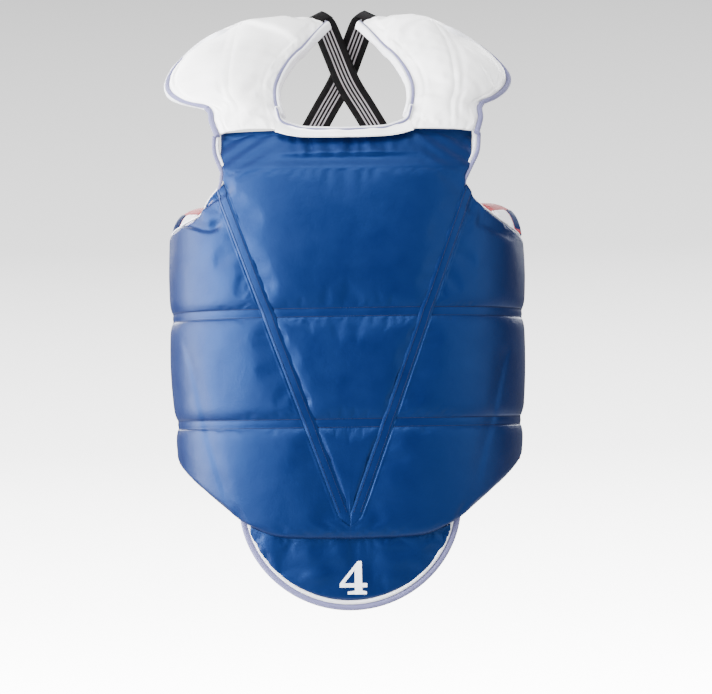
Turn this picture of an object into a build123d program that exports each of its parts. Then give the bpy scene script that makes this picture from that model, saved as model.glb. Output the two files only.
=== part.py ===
from build123d import *
import math
import os

# Padded chest protector for sparring, reversible, worn round the trunk.
# Units are millimetres.  +Z is up, the chest faces -Y, and "left" is the -X side.
# The origin lies on the trunk's centre line, level with the seam of the groin flap.

# ---- driving dimensions --------------------------------------------------
HALF_WIDTH = 201.0          # trunk, side to middle, at chest height
HALF_DEPTH = 146.0          # trunk, front to middle, at chest height
SQUARENESS = 2.7            # exponent of the trunk's section (2 is an ellipse)
CHEST_LEVEL = 295.0         # height of the fullest section
WAIST_TAPER = 13.0          # half width lost from chest level to the waist
WAIST_LEAN = 14.0           # half depth lost from chest level to the waist
NECK_TAPER = 4.0            # half width lost from chest level to the neck
NECK_LEAN = 24.0            # half depth lost from chest level to the neck
TAPER_RUN = 295.0           # height over which the lower taper builds up
NECK_RUN = 175.0            # height over which the upper taper builds up

COVER = 1.0                 # coated fabric
FIT = 0.4                   # air between two layers of one pad
FOAM = 18.2                 # closed-cell foam core of the trunk
REVERSE = COVER + 2 * FIT + FOAM        # depth of the reverse cover's outer face
PAD = REVERSE + COVER                   # whole pad thickness

LOW_CHANNEL = 133.5         # heights of the two sewn level channels
HIGH_CHANNEL = 253.0
CHANNEL = 8.0               # width of a sewn channel
V_APEX = 29.0               # height where the V channels meet
V_SLOPE = 0.365             # sideways run of a V channel for each unit of height
V_CHANNEL = 9.0             # width of a V channel, measured level
FOAM_TOP = 446.0            # the foam stops here, just inside the cover's top edge
COVER_TOP = 449.0
ROW_STEP = 24.0             # height between two sections of a panel

HINGE_ANGLE = 92.5          # where the side creases, in degrees from the front
HINGE_GAP = 0.7             # each side's setback from the crease, in degrees
BACK_ANGLE = 151.6          # where a wing's foam ends at the back
WING_LOW = 100.0
WING_TOP = 382.0
WING_ROUND = 0.09           # how fast a wing's back corners draw in
BINDING = 5.0               # width of the edge tape on a wing

FLAP_DEPTH = 8.0            # the flap hangs this far behind the chest's face
FLAP_THICK = 12.0
FLAP_TOP = 1.0
FLAP_HALF_WIDTH = 116.0
FLAP_DROP = 71.0
FLAP_ROUND = 1.6            # exponent of the flap's outline
FLAP_BINDING = 9.0

SHOULDER_PAD = 17.0
CAP_PAD = 12.0
PIPING = 4.0
PIPING_AIR = 0.8            # the piping's stand-off from the edge it trims
BAND_THICK = 2.0            # neckband

STRAP_WIDTH = 30.0
STRAP_THICK = 1.6
STRAP_AIR = 2.2             # the strap's stand-off from the wing it passes
STRAP_STACK = 4.2           # the outer strap's stand-off at the crossing
TAB_WIDTH = 44.0
TAB_THICK = 2.0
PATCH = 1.1                 # loop patch thickness

BOW_STEPS = 4               # spacing of the points across a bowed pad
ARC_STEP = 6.0              # spacing of the points along a wall section, in degrees

# The armhole's edge on the chest, as (height, distance from the middle).
ARMHOLE = [(338.5, 200.5), (345, 191), (353, 179), (363.5, 165), (376, 153),
           (390, 146), (404, 140), (422, 135), (449, 138)]
# The lower corner of the chest, as (height, distance from the middle).
LOWER_CORNER = [(8, 78), (14, 109), (25, 125), (38, 142), (52, 159), (66, 176),
                (78, 189), (86, 196)]

# Shoulder pad: each row is neck edge, outer edge and the bulge between them.
SHOULDER = [((-68, -119, 455), (-141, -105, 453), 8),
            ((-73, -108, 470), (-147, -95, 465), 10),
            ((-78, -92, 490), (-151, -84, 482), 13),
            ((-76, -68, 514), (-140.5, -55.5, 520), 17),
            ((-65, -40, 540), (-130.5, -28.5, 556), 20),
            ((-49, -12, 560), (-122, -5, 587), 20),
            ((-34, 14, 579), (-98, 26, 597), 16),
            ((-22, 33, 594), (-70, 46, 600), 10),
            ((-17, 46, 600), (-50, 58, 598), 5)]
SHOULDER_CORE = (-20.0, 500.0)          # y and z of the shoulder's middle
# Shoulder cap: each row is crease point, outer edge and bulge.
CAP = [((-150.5, -82, 485), (-158, -81, 488), 1),
       ((-148, -74, 497), (-184, -57, 496), 4),
       ((-142.5, -58, 517), (-199, -34, 509), 6),
       ((-135.5, -40, 541), (-202, -14, 527), 7),
       ((-129.5, -24, 562), (-190, 7, 551), 7),
       ((-124.5, -11, 579), (-160, 14, 577), 5),
       ((-122.5, -5.5, 586), (-136, 6, 587), 2)]
CAP_CORE = (-118.0, -20.0, 470.0)
CAP_SETBACK = 3.0                       # the cap's cover stops this far from its crease
CAP_FOAM_SETBACK = 11.0                 # and its foam this far

# Crossed strap: centre points and outward normals, from the nape to the wing.
STRAP_FREE = [((-22, 67, 596), (0.0, 0.62, 0.78)),
              ((-11, 85, 571), (0.0, 0.78, 0.62)),
              ((4, 103, 536), (0.05, 0.87, 0.49)),
              ((24, 118, 504), (0.10, 0.93, 0.35)),
              ((48, 129, 465), (0.14, 0.97, 0.20)),
              ((74, 135, 425), (0.18, 0.98, 0.08))]
CROSSING_LIFT = [0.5, 0.9, 1.0, 0.9, 0.6, 0.2]
# The rest of the strap and its tab lie on the wing, as (angle, height).
STRAP_ON_WING = [(144.0, 391), (138.0, 353), (133.0, 322)]
TAB_ON_WING = [(132.6, 319.5), (129.6, 300), (126.4, 280), (122.6, 256)]
STRAP_ANCHOR = [((-36, 50, 606), (0.0, 0.42, 0.91)),
                ((-30, 57, 604), (0.0, 0.50, 0.87)),
                ((-24, 64.5, 600.2), (0.0, 0.60, 0.80))]

os.makedirs("parts", exist_ok=True)


# ---- the trunk's surface -------------------------------------------------
def half_sizes(z, depth=0.0):
    """Half width and half depth of the trunk's section at height z, at a depth into the pad."""
    if z < CHEST_LEVEL:
        fall = ((CHEST_LEVEL - z) / TAPER_RUN) ** 2
        return HALF_WIDTH - WAIST_TAPER * fall - depth, HALF_DEPTH - WAIST_LEAN * fall - depth
    rise = ((z - CHEST_LEVEL) / NECK_RUN) ** 2
    return HALF_WIDTH - NECK_TAPER * rise - depth, HALF_DEPTH - NECK_LEAN * rise - depth


def wall_point(angle, z, depth=0.0):
    """Point on the trunk; the angle turns from the front (0) to the +X side (90) and the back."""
    a, b = half_sizes(z, depth)
    turn = math.radians(angle)
    reach = abs(math.sin(turn) / a) ** SQUARENESS + abs(math.cos(turn) / b) ** SQUARENESS
    r = reach ** (-1 / SQUARENESS)
    return Vector(r * math.sin(turn), -r * math.cos(turn), z)


def wall_normal(angle, z):
    """Outward unit normal of the trunk."""
    around = wall_point(angle + 1, z) - wall_point(angle - 1, z)
    up = wall_point(angle, z + 2) - wall_point(angle, z - 2)
    return around.cross(up).normalized()


def angle_at(x, z):
    """Angle of the point on the front of the trunk that is x from the middle."""
    a, b = half_sizes(z)
    y = b * (1 - min(abs(x / a), 0.9999) ** SQUARENESS) ** (1 / SQUARENESS)
    return math.degrees(math.atan2(x, y))


def along(outline, z):
    """Distance from the middle at height z, on an outline of (height, distance) points."""
    for (z0, x0), (z1, x1) in zip(outline, outline[1:]):
        if z0 <= z <= z1:
            return x0 + (x1 - x0) * (z - z0) / (z1 - z0)
    return outline[0][1] if z < outline[0][0] else outline[-1][1]


# ---- makers of closed solids ---------------------------------------------
def closed_wire(points_out, points_in):
    """Planar outline of a curved slab: outer curve, end, inner curve, end."""
    outer = Edge.make_spline(points_out)
    inner = Edge.make_spline(points_in[::-1])
    ends = [Edge.make_line(points_out[-1], points_in[-1]), Edge.make_line(points_in[0], points_out[0])]
    return Wire([outer, ends[0], inner, ends[1]])


def wall_panel(rows, depth_out, depth_in):
    """Slab of the trunk's wall; each row is (height, first angle, last angle)."""
    wires = []
    steps = max(2, math.ceil(max(last - first for _, first, last in rows) / ARC_STEP))
    for z, first, last in rows:
        angles = [first + (last - first) * i / steps for i in range(steps + 1)]
        outer = [wall_point(angle, z, depth_out) for angle in angles]
        inner = [wall_point(angle, z, depth_in) for angle in angles]
        wires.append(closed_wire(outer, inner))
    return Solid.make_loft(wires, ruled=True)


def smooth_value(v0, v1, v2, v3):
    """Value half way from v1 to v2 on a smooth curve through four even stations."""
    return (9 * (v1 + v2) - v0 - v3) / 16


def refined(rows):
    """The rows of a bowed pad with a smooth in-between row after each."""
    last = len(rows) - 1
    fine = []
    for i, (start, end, bulge) in enumerate(rows):
        fine.append((Vector(*start), Vector(*end), bulge))
        if i == last:
            break
        four = [rows[max(i - 1, 0)], rows[i], rows[i + 1], rows[min(i + 2, last)]]
        starts, ends = [[Vector(*row[k]) for row in four] for k in (0, 1)]
        fine.append((smooth_value(*starts), smooth_value(*ends), smooth_value(*[r[2] for r in four])))
    return fine


def bowed_frame(start, end, core):
    """Unit chord of a pad's row, and the unit direction of its thickness."""
    chord = (end - start).normalized()
    middle = (start + end) / 2
    inward = Vector(middle.X if core[0] is None else core[0], core[1], core[2]) - middle
    return chord, (inward - chord * inward.dot(chord)).normalized()


def bowed_slab(rows, core, depth_out, depth_in, setback=0.0):
    """Bowed pad between two edge lines, with its thickness towards the core."""
    wires = []
    for start, end, bulge in refined(rows):
        chord, inward = bowed_frame(start, end, core)
        length = (end - start).length
        begin = min(setback / length, 0.4)
        bow = []
        for i in range(BOW_STEPS + 1):
            share = begin + (1 - begin) * i / BOW_STEPS
            rise = 4 * bulge * share * (1 - share)
            bow.append(start + chord * (length * share) - inward * rise)
        wires.append(closed_wire([p + inward * depth_out for p in bow],
                                 [p + inward * depth_in for p in bow]))
    return Solid.make_loft(wires, ruled=True)


def strip(stations, ruled=True):
    """Tape or piping: each station is (edge point, other edge point, thickness vector)."""
    wires = []
    for p, q, through in stations:
        wires.append(Wire.make_polygon([p, q, q + through, p + through], close=True))
    solid = Solid.make_loft(wires, ruled=ruled)
    return solid if solid.volume > 0 else Solid.make_loft(wires[::-1], ruled=ruled)


def ribbon(path, width, thick):
    """Flat webbing along a path of (centre of the inner face, outward normal)."""
    stations = []
    for i, (centre, normal) in enumerate(path):
        before = path[max(i - 1, 0)][0]
        after = path[min(i + 1, len(path) - 1)][0]
        tangent = (after - before).normalized()
        across = tangent.cross(normal).normalized()
        outward = across.cross(tangent).normalized()
        half = across * (width / 2)
        stations.append((centre - half, centre + half, outward * thick))
    return strip(stations, ruled=False)


def mirrored(solid):
    return solid.mirror(Plane.YZ)


def save(name, solid):
    solid.label = name
    export_step(solid, f"parts/{name}.step")


def save_pair(name, solid):
    save(f"{name}_left", solid)
    save(f"{name}_right", mirrored(solid))


# ---- chest ---------------------------------------------------------------
CREASE = HINGE_ANGLE - HINGE_GAP


def outer_angle(z):
    """Angle of the chest's outer edge at height z: lower corner, side crease or armhole."""
    if z < LOWER_CORNER[-1][0]:
        return angle_at(along(LOWER_CORNER, z), z)
    if z > ARMHOLE[0][0]:
        return angle_at(along(ARMHOLE, z), z)
    return CREASE


def row_heights(low, high):
    """Heights of the sections of a panel, which all layers share."""
    half = CHANNEL / 2
    heights = {low, high, V_APEX, LOWER_CORNER[-1][0] + 6}
    heights |= {level + side for level in (LOW_CHANNEL, HIGH_CHANNEL) for side in (-half, half)}
    heights |= {z for z, _ in ARMHOLE + LOWER_CORNER}
    heights |= {HIGH_CHANNEL - half - ROW_STEP * i for i in range(1, 7)}
    heights |= {HIGH_CHANNEL + half + ROW_STEP * i for i in range(1, 4)}
    return sorted(z for z in heights if low <= z <= high)


def v_edge(z):
    """Half width of the centre panel at height z."""
    return V_SLOPE * (z - V_APEX)


def side_inner(z):
    """Inner edge of a side panel: beside the V, and near the middle below it."""
    return max(v_edge(z) + V_CHANNEL, 3.0)


def centre_rows(low, high):
    rows = []
    for z in row_heights(low, high):
        half = angle_at(min(v_edge(z), along(ARMHOLE, z) - 1.0), z)
        rows.append((z, -half, half))
    return rows


def side_rows(low, high):
    """Rows of a left side panel, from the V channel back to the side crease."""
    return [(z, -outer_angle(z), -angle_at(side_inner(z), z)) for z in row_heights(low, high)]


def channel_bands(bottom, top):
    """The three foam heights between the level channels."""
    half = CHANNEL / 2
    return {"lower": (bottom, LOW_CHANNEL - half),
            "middle": (LOW_CHANNEL + half, HIGH_CHANNEL - half),
            "upper": (HIGH_CHANNEL + half, top)}


def chest():
    foam_in = COVER + FIT
    foam_out = foam_in + FOAM
    bottom, side_top, hem = 8.0, 388.0, 3.0
    save("chest_cover_centre", wall_panel(centre_rows(V_APEX + 2 * hem, COVER_TOP), 0, COVER))
    save_pair("chest_cover", wall_panel(side_rows(bottom, side_top), 0, COVER))
    for name, (low, high) in channel_bands(V_APEX + 4 * hem, FOAM_TOP).items():
        save(f"foam_centre_{name}", wall_panel(centre_rows(low, high), foam_in, foam_out))
    for name, (low, high) in channel_bands(bottom + hem, side_top - hem).items():
        save_pair(f"foam_side_{name}", wall_panel(side_rows(low, high), foam_in, foam_out))
    whole = [(z, -outer_angle(z), outer_angle(z)) for z in row_heights(bottom, COVER_TOP)]
    save("chest_reverse_cover", wall_panel(whole, REVERSE, PAD))


def neckband():
    """White band over the top edge of the chest, dipping in the middle."""
    stations = []
    reach, dip, edge_low, height_mid, height_end = 64.0, 7.0, 449.0, 11.0, 16.0
    steps = 8
    for i in range(steps + 1):
        share = 2 * i / steps - 1
        x = reach * share
        low = edge_low - dip * (1 - share ** 2)
        high = low + height_mid + (height_end - height_mid) * share ** 2
        bottom = wall_point(angle_at(x, low), low, -BAND_THICK - FIT)
        top = wall_point(angle_at(x, high), high, -BAND_THICK - FIT)
        stations.append((bottom, top, Vector(0, BAND_THICK, 0)))
    save("neckband", strip(stations))


def armhole_piping():
    """Piping that stands off the armhole's edge and covers the pad's thickness there."""
    angles = [-outer_angle(z) for z, _ in ARMHOLE]
    points = [wall_point(angle, z) for angle, (z, _) in zip(angles, ARMHOLE)]
    stations = []
    for i, (angle, (z, _)) in enumerate(zip(angles, ARMHOLE)):
        tangent = points[min(i + 1, len(points) - 1)] - points[max(i - 1, 0)]
        away = wall_normal(angle, z).cross(tangent).normalized()
        near = points[i] + away * PIPING_AIR
        stations.append((near, near + away * PIPING, wall_point(angle, z, PAD) - points[i]))
    save_pair("armhole_piping", strip(stations))


# ---- groin flap ----------------------------------------------------------
def flap_rows(inset, low):
    half_width = FLAP_HALF_WIDTH - inset
    drop = FLAP_DROP - inset
    rows = []
    steps = 8
    for i in range(steps + 1):
        z = FLAP_TOP - (FLAP_TOP - low) * (1 - (1 - i / steps) ** 1.6)
        fall = min((FLAP_TOP - z) / drop, 1.0)
        x = half_width * (1 - fall ** FLAP_ROUND) ** (1 / FLAP_ROUND)
        far = angle_at(max(x, 6.0), z)
        rows.append((z, -far, far))
    return rows[::-1]


def groin_flap():
    near, far = FLAP_DEPTH, FLAP_DEPTH + FLAP_THICK
    rows = flap_rows(FLAP_BINDING + 3 * FIT, FLAP_TOP - FLAP_DROP + FLAP_BINDING + 1.0)
    save("flap_cover", wall_panel(rows, near, near + COVER))
    save("flap_foam", wall_panel(rows, near + COVER + FIT, far - COVER - FIT))
    save("flap_reverse_cover", wall_panel(rows, far - COVER, far))
    stations = []
    steps = 24
    for i in range(steps + 1):
        turn = math.radians(2 + 176 * i / steps)
        edge, inner = [flap_edge(turn, inset) for inset in (0.0, FLAP_BINDING)]
        p = wall_point(angle_at(*edge), edge[1], near)
        q = wall_point(angle_at(*inner), inner[1], near)
        stations.append((p, q, wall_point(angle_at(*edge), edge[1], far) - p))
    save("flap_binding", strip(stations))


def flap_edge(turn, inset):
    """Point (x, z) on the flap's outline, moved in by the inset."""
    c, s = math.cos(turn), math.sin(turn)
    x = math.copysign((FLAP_HALF_WIDTH - inset) * abs(c) ** (2 / FLAP_ROUND), -c)
    return x, FLAP_TOP - (FLAP_DROP - inset) * s ** (2 / FLAP_ROUND)


# ---- wings ---------------------------------------------------------------
WING_TOP_SLOPE = [(336, 93.2), (345, 97), (356, 102.5), (367, 109), (375, 114), (WING_TOP, 119)]
WING_EDGE = [(94.2, 345), (98.5, 357.5), (104, 370), (110, 380), (117, 387), (127, 389.5),
             (137, 389.5), (146, 389), (151.5, 385), (154.2, 377), (154.5, 340), (154.5, 290),
             (154.5, 240), (154.5, 190), (154.5, 140), (154.2, 104), (151.5, 96.5), (146, 92.5),
             (137, 92), (126, 92), (115, 92), (104, 92), (94.2, 92)]
# The front edge of the reverse side's loop patch, as (height, angle); it follows the armhole.
REVERSE_PATCH = [(290, 97), (318, 97), (340, 97.5), (347, 102), (356, 107), (367, 113.5),
                 (375, 118.5), (380, 122)]


def wing_rows(low, high):
    rows = []
    start = HINGE_ANGLE + HINGE_GAP
    stops = {WING_LOW + 3, WING_LOW + 6, *[z for z, _ in WING_TOP_SLOPE]}
    stops |= {z for z in row_heights(WING_LOW, WING_TOP) if z < WING_TOP_SLOPE[0][0]}
    for z in sorted({low, high, *[s for s in stops if low < s < high]}):
        first = max(start, along(WING_TOP_SLOPE, z)) if z > WING_TOP_SLOPE[0][0] else start
        corner = max(z - (WING_TOP - 6), WING_LOW + 6 - z, 0.0)
        last = BACK_ANGLE - WING_ROUND * corner ** 2
        rows.append((z, -last, -first))
    return rows


def wing():
    rows = wing_rows(WING_LOW, WING_TOP)
    save_pair("wing_cover", wall_panel(rows, 0, COVER))
    save_pair("wing_reverse_cover", wall_panel(rows, REVERSE, PAD))
    foam_in = COVER + FIT
    for name, (low, high) in channel_bands(WING_LOW, WING_TOP).items():
        save_pair(f"wing_foam_{name}", wall_panel(wing_rows(low, high), foam_in, foam_in + FOAM))
    patch_rows = [(z, -138.5, -115.5) for z in (245.0, 295.0, 345.0)]
    save_pair("wing_loop_patch", wall_panel(patch_rows, -PATCH - FIT, -FIT))
    inner_rows = [(z, -146.0, -first) for z, first in REVERSE_PATCH]
    save_pair("wing_reverse_loop_patch", wall_panel(inner_rows, PAD + 2 * FIT, PAD + 2 * FIT + PATCH))
    save_pair("wing_binding", strip(wing_binding_stations()))


def wing_binding_stations():
    """Edge tape round the top, back and bottom edges of a left wing."""
    points = [wall_point(-angle, z) for angle, z in WING_EDGE]
    middle = wall_point(-125, (WING_LOW + WING_TOP) / 2)
    stations = []
    for i, (angle, z) in enumerate(WING_EDGE):
        tangent = (points[min(i + 1, len(points) - 1)] - points[max(i - 1, 0)]).normalized()
        normal = wall_normal(-angle, z)
        into = tangent.cross(normal).normalized()
        if into.dot(middle - points[i]) < 0:
            into = into * -1
        through = wall_point(-angle, z, PAD) - points[i]
        stations.append((points[i], points[i] + into * BINDING, through))
    return stations


# ---- shoulders -----------------------------------------------------------
def shoulder():
    core = (None, *SHOULDER_CORE)
    far = SHOULDER_PAD
    save_pair("shoulder_cover", bowed_slab(SHOULDER, core, 0, COVER))
    save_pair("shoulder_foam", bowed_slab(SHOULDER, core, COVER + FIT, far - COVER - FIT))
    save_pair("shoulder_reverse_cover", bowed_slab(SHOULDER, core, far - COVER, far))
    save_pair("neck_piping", edge_piping(SHOULDER, core, far, at_start=True))


def shoulder_cap():
    far = CAP_PAD
    inner = far - COVER
    save_pair("cap_cover", bowed_slab(CAP, CAP_CORE, 0, COVER, CAP_SETBACK))
    save_pair("cap_foam", bowed_slab(CAP, CAP_CORE, COVER + FIT, inner - FIT, CAP_FOAM_SETBACK))
    save_pair("cap_reverse_cover", bowed_slab(CAP, CAP_CORE, inner, far, CAP_FOAM_SETBACK))
    save_pair("cap_piping", edge_piping(CAP, CAP_CORE, far, at_start=False))


def edge_piping(rows, core, thick, at_start):
    """Piping along the neck edge or the outer edge of a bowed pad."""
    stations = []
    for start, end, _ in refined(rows):
        chord, inward = bowed_frame(start, end, core)
        edge, out = (start, chord * -1) if at_start else (end, chord)
        near = edge + out * PIPING_AIR
        stations.append((near, near + out * PIPING, inward * thick))
    return strip(stations)


# ---- crossed straps ------------------------------------------------------
def on_wing(spots, stand_off):
    return [(wall_point(angle, z, -stand_off), wall_normal(angle, z)) for angle, z in spots]


def strap_path(lift):
    """Path of the strap that starts on the left shoulder and ends on the right wing."""
    path = []
    for (centre, normal), share in zip(STRAP_FREE, CROSSING_LIFT):
        normal = Vector(*normal).normalized()
        path.append((Vector(*centre) + normal * (lift * share), normal))
    return path + on_wing(STRAP_ON_WING, STRAP_AIR)


def straps():
    anchor = [(Vector(*centre), Vector(*normal).normalized()) for centre, normal in STRAP_ANCHOR]
    save_pair("strap_anchor", ribbon(anchor, STRAP_WIDTH, STRAP_THICK))
    save("strap_left", ribbon(strap_path(0.0), STRAP_WIDTH, STRAP_THICK))
    save("strap_right", mirrored(ribbon(strap_path(STRAP_STACK), STRAP_WIDTH, STRAP_THICK)))
    tab = ribbon(on_wing(TAB_ON_WING, STRAP_AIR), TAB_WIDTH, TAB_THICK)
    save("hook_tab_left", tab)
    save("hook_tab_right", mirrored(tab))


chest()
neckband()
armhole_piping()
groin_flap()
wing()
shoulder()
shoulder_cap()
straps()
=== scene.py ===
import math

import bmesh
import bpy
import numpy as np
from mathutils import Matrix, Vector

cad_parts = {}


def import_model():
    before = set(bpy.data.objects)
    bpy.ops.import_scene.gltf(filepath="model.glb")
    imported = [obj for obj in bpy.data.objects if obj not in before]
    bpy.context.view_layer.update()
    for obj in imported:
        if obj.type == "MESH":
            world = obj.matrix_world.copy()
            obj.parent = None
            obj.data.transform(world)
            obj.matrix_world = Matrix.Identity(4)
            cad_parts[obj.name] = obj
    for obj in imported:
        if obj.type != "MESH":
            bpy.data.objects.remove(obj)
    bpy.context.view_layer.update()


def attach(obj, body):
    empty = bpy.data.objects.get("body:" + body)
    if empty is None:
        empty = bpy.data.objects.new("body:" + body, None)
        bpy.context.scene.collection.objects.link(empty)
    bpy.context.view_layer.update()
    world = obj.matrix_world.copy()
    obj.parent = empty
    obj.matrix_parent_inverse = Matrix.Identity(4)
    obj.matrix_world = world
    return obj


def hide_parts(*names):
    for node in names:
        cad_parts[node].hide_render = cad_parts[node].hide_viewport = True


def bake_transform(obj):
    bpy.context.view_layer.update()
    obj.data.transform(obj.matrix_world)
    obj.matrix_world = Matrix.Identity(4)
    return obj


# Padded chest protector: the soft covers, piping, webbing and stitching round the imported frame.
# Units are metres.  +Z is up, the chest faces -Y, and "left" is the -X side.
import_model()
MM = 0.001
SIDES = {"left": -1, "right": 1}

# ---- driving dimensions (metres and degrees) ------------------------------
HALF_WIDTH, HALF_DEPTH, SQUARENESS = 0.201, 0.146, 2.7
CHEST_LEVEL, TAPER_RUN, NECK_RUN = 0.295, 0.295, 0.175
WAIST_TAPER, WAIST_LEAN = 0.013, 0.014
NECK_TAPER, NECK_LEAN = 0.004, 0.024
PAD = 0.021                     # whole thickness of the trunk pad
SEAM_OUT, SEAM_IN = 0.0103, 0.0107      # where the outer and the reverse cover meet, near mid depth
CHANNELS = (0.1335, 0.253)      # heights of the sewn level channels
V_APEX, V_SLOPE, V_WIDTH = 0.029, 0.365, 0.009
CREASE_ANGLE, BACK_ANGLE = 92.5, 153.3
TOP_EDGE = 0.4515               # the blue cover runs up to here, under the white pads
FOAM_EDGE = 0.4205              # the foam ends here, and a thin gathered strip is above it

# The lower edge of the chest, as distance from the middle, height.
LOWER_EDGE = np.array([(0, 7), (45, 7.5), (78, 9), (95, 13), (110, 20), (125, 29), (142, 42.5),
                       (159, 56), (176, 69.5), (188, 80), (195, 88), (203, 92)]) * MM
# The wing's top edge, as angle from the front, height.
WING_TOP = np.array([(92.5, 0.3385), (94.2, 0.345), (98.5, 0.3575), (104, 0.370), (110, 0.380),
                     (117, 0.387), (127, 0.3895), (137, 0.3895), (146, 0.389), (151, 0.3855), (155, 0.376)])
WING_LOW = np.array([(92.5, 0.092), (145, 0.092), (150.5, 0.0955), (155, 0.105)])
WING_BINDING = 0.005


# ---- curves and the trunk's surface ---------------------------------------
def catmull(points, parts):
    """Smooth curve through the points, with `parts` steps between neighbours."""
    p = np.asarray(points, float)
    p = np.concatenate([[2 * p[0] - p[1]], p, [2 * p[-1] - p[-2]]])
    t = (np.arange(parts) / parts)[:, None]
    pieces = []
    for a, b, c, d in zip(p, p[1:], p[2:], p[3:]):
        pieces.append(0.5 * (2 * b + (c - a) * t + (2 * a - 5 * b + 4 * c - d) * t ** 2
                             + (3 * b - a - 3 * c + d) * t ** 3))
    return np.concatenate(pieces + [p[-2:-1]])


def even(path, step=None, count=None):
    """The same path with evenly spaced points."""
    path = np.asarray(path, float)
    run = np.concatenate([[0], np.cumsum(np.linalg.norm(np.diff(path, axis=0), axis=1))])
    count = count or max(2, int(round(run[-1] / step)) + 1)
    s = np.linspace(0, run[-1], count)
    return np.stack([np.interp(s, run, path[:, k]) for k in range(path.shape[1])], 1)


def outline(points, parts=8):
    """Smooth version of an outline whose first column keeps rising, for np.interp."""
    fine = catmull(points, parts)
    return fine[:, 0], fine[:, 1]


LOWER_X, LOWER_Z = outline(LOWER_EDGE)
WING_TOP_ANGLE, WING_TOP_Z = outline(WING_TOP)
WING_LOW_ANGLE, WING_LOW_Z = outline(WING_LOW)


def half_sizes(z, depth=0.0):
    z = np.asarray(z, float)
    low = ((CHEST_LEVEL - z) / TAPER_RUN) ** 2
    high = ((z - CHEST_LEVEL) / NECK_RUN) ** 2
    below = z < CHEST_LEVEL
    a = HALF_WIDTH - np.where(below, WAIST_TAPER * low, NECK_TAPER * high) - depth
    b = HALF_DEPTH - np.where(below, WAIST_LEAN * low, NECK_LEAN * high) - depth
    return a, b


def wall(angle, z, depth=0.0):
    """Points of the trunk at a depth into the pad; the angle turns from the front to +X and the back."""
    a, b = half_sizes(z, depth)
    turn = np.radians(np.asarray(angle, float))
    s, c = np.sin(turn), np.cos(turn)
    r = (np.abs(s / a) ** SQUARENESS + np.abs(c / b) ** SQUARENESS) ** (-1 / SQUARENESS)
    return np.stack([r * s, -r * c, z + 0 * r], -1)


def wall_normal(angle, z):
    around = wall(angle + 0.5, z) - wall(angle - 0.5, z)
    up = wall(angle, z + 0.001) - wall(angle, z - 0.001)
    return unit(np.cross(around, up))


def angle_at(x, z):
    a, b = half_sizes(z)
    y = b * (1 - np.minimum(np.abs(x / a), 0.9999) ** SQUARENESS) ** (1 / SQUARENESS)
    return np.degrees(np.arctan2(x, y))


def angle_seen(x, z, depth, share=1.0):
    """Angle at which a point `depth` into the pad keeps the distance x from the middle."""
    outer, inner = half_sizes(z)[0], half_sizes(z, depth)[0]
    return angle_at(x * (1 + share * (outer / inner - 1)), z)


def front_angle(x, z):
    """Angle of a point of the front pads whose rolled edge the front view shows at x."""
    return angle_seen(x, z, 0.0025)


def unit(v):
    return v / np.maximum(np.linalg.norm(v, axis=-1, keepdims=True), 1e-12)


def v_inner(z):
    return np.maximum(V_SLOPE * (z - V_APEX), 0.0)


def v_outer(z):
    return np.where(z > V_APEX - 0.006, np.maximum(V_SLOPE * (z - V_APEX) + V_WIDTH, 0.0), 0.0)


def smooth_step(x, low, high):
    t = np.clip((x - low) / (high - low), 0, 1)
    return t * t * (3 - 2 * t)


# ---- depth profiles of padded covers --------------------------------------
def rolled(distances, fall):
    """Depth of a cover that rolls over its edges; distances is a list of (distance, reach)."""
    t = np.sqrt(sum(np.clip(1 - d / reach, 0, 1) ** 2 for d, reach in distances))
    return fall * (1 - np.sqrt(1 - np.minimum(t, 1) ** 2))


def valley(d, half, shoulder, depth):
    """Depth of a sewn channel at distance d from its middle, deepest along its two seams."""
    t = np.clip((np.abs(d) - half) / shoulder, 0, 1)
    floor = 0.35 * np.clip(1 - (d / half) ** 2, 0, 1)
    return depth * ((1 - t) ** 2.2 - floor)


def crease(points, x, z, depth, width):
    """Depth of a fold along a line of (x, z) points on the front: steep below it, gentle above."""
    line = catmull(np.array(points) * MM, 6)
    best = np.full(np.shape(x), 1e9)
    share = np.zeros(np.shape(x))
    above = np.zeros(np.shape(x), bool)
    for i, (p, q) in enumerate(zip(line, line[1:])):
        d = q - p
        t = np.clip(((x - p[0]) * d[0] + (z - p[1]) * d[1]) / (d @ d), 0, 1)
        away = np.hypot(x - p[0] - t * d[0], z - p[1] - t * d[1])
        share = np.where(away < best, (i + t) / (len(line) - 1), share)
        side = (z - p[1]) * abs(d[0]) > (x - p[0]) * d[1] * np.sign(d[0])
        above = np.where(away < best, side, above)
        best = np.minimum(best, away)
    fade = smooth_step(share, 0, 0.15) * (1 - smooth_step(share, 0.8, 1))
    return depth * fade * np.exp(-(best / np.where(above, 3 * width, width)) ** 2)


def ripple(points, scale, seed):
    """Slow unevenness, between about -1 and 1, the same on each run."""
    rng = np.random.default_rng(seed)
    total = 0
    for _ in range(6):
        direction = unit(rng.normal(size=3)) * rng.uniform(0.6, 1.6) / scale
        total = total + np.sin(points @ direction * 2 * math.pi + rng.uniform(0, 6.3))
    return total / 3


# ---- meshes ----------------------------------------------------------------
def new_piece(name, verts, faces):
    mesh = bpy.data.meshes.new(name)
    mesh.from_pydata(np.asarray(verts, float).tolist(), [], [list(map(int, f)) for f in faces])
    mesh.update()
    mesh.shade_smooth()
    obj = bpy.data.objects.new(name, mesh)
    bpy.context.scene.collection.objects.link(obj)
    return obj


def cells(rows, cols):
    """Corner indices of a grid's cells, turning outward when columns run right and rows run up."""
    i, j = np.meshgrid(np.arange(rows - 1), np.arange(cols - 1), indexing="ij")
    a = i * cols + j
    return np.stack([a, a + 1, a + cols + 1, a + cols], -1)


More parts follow.
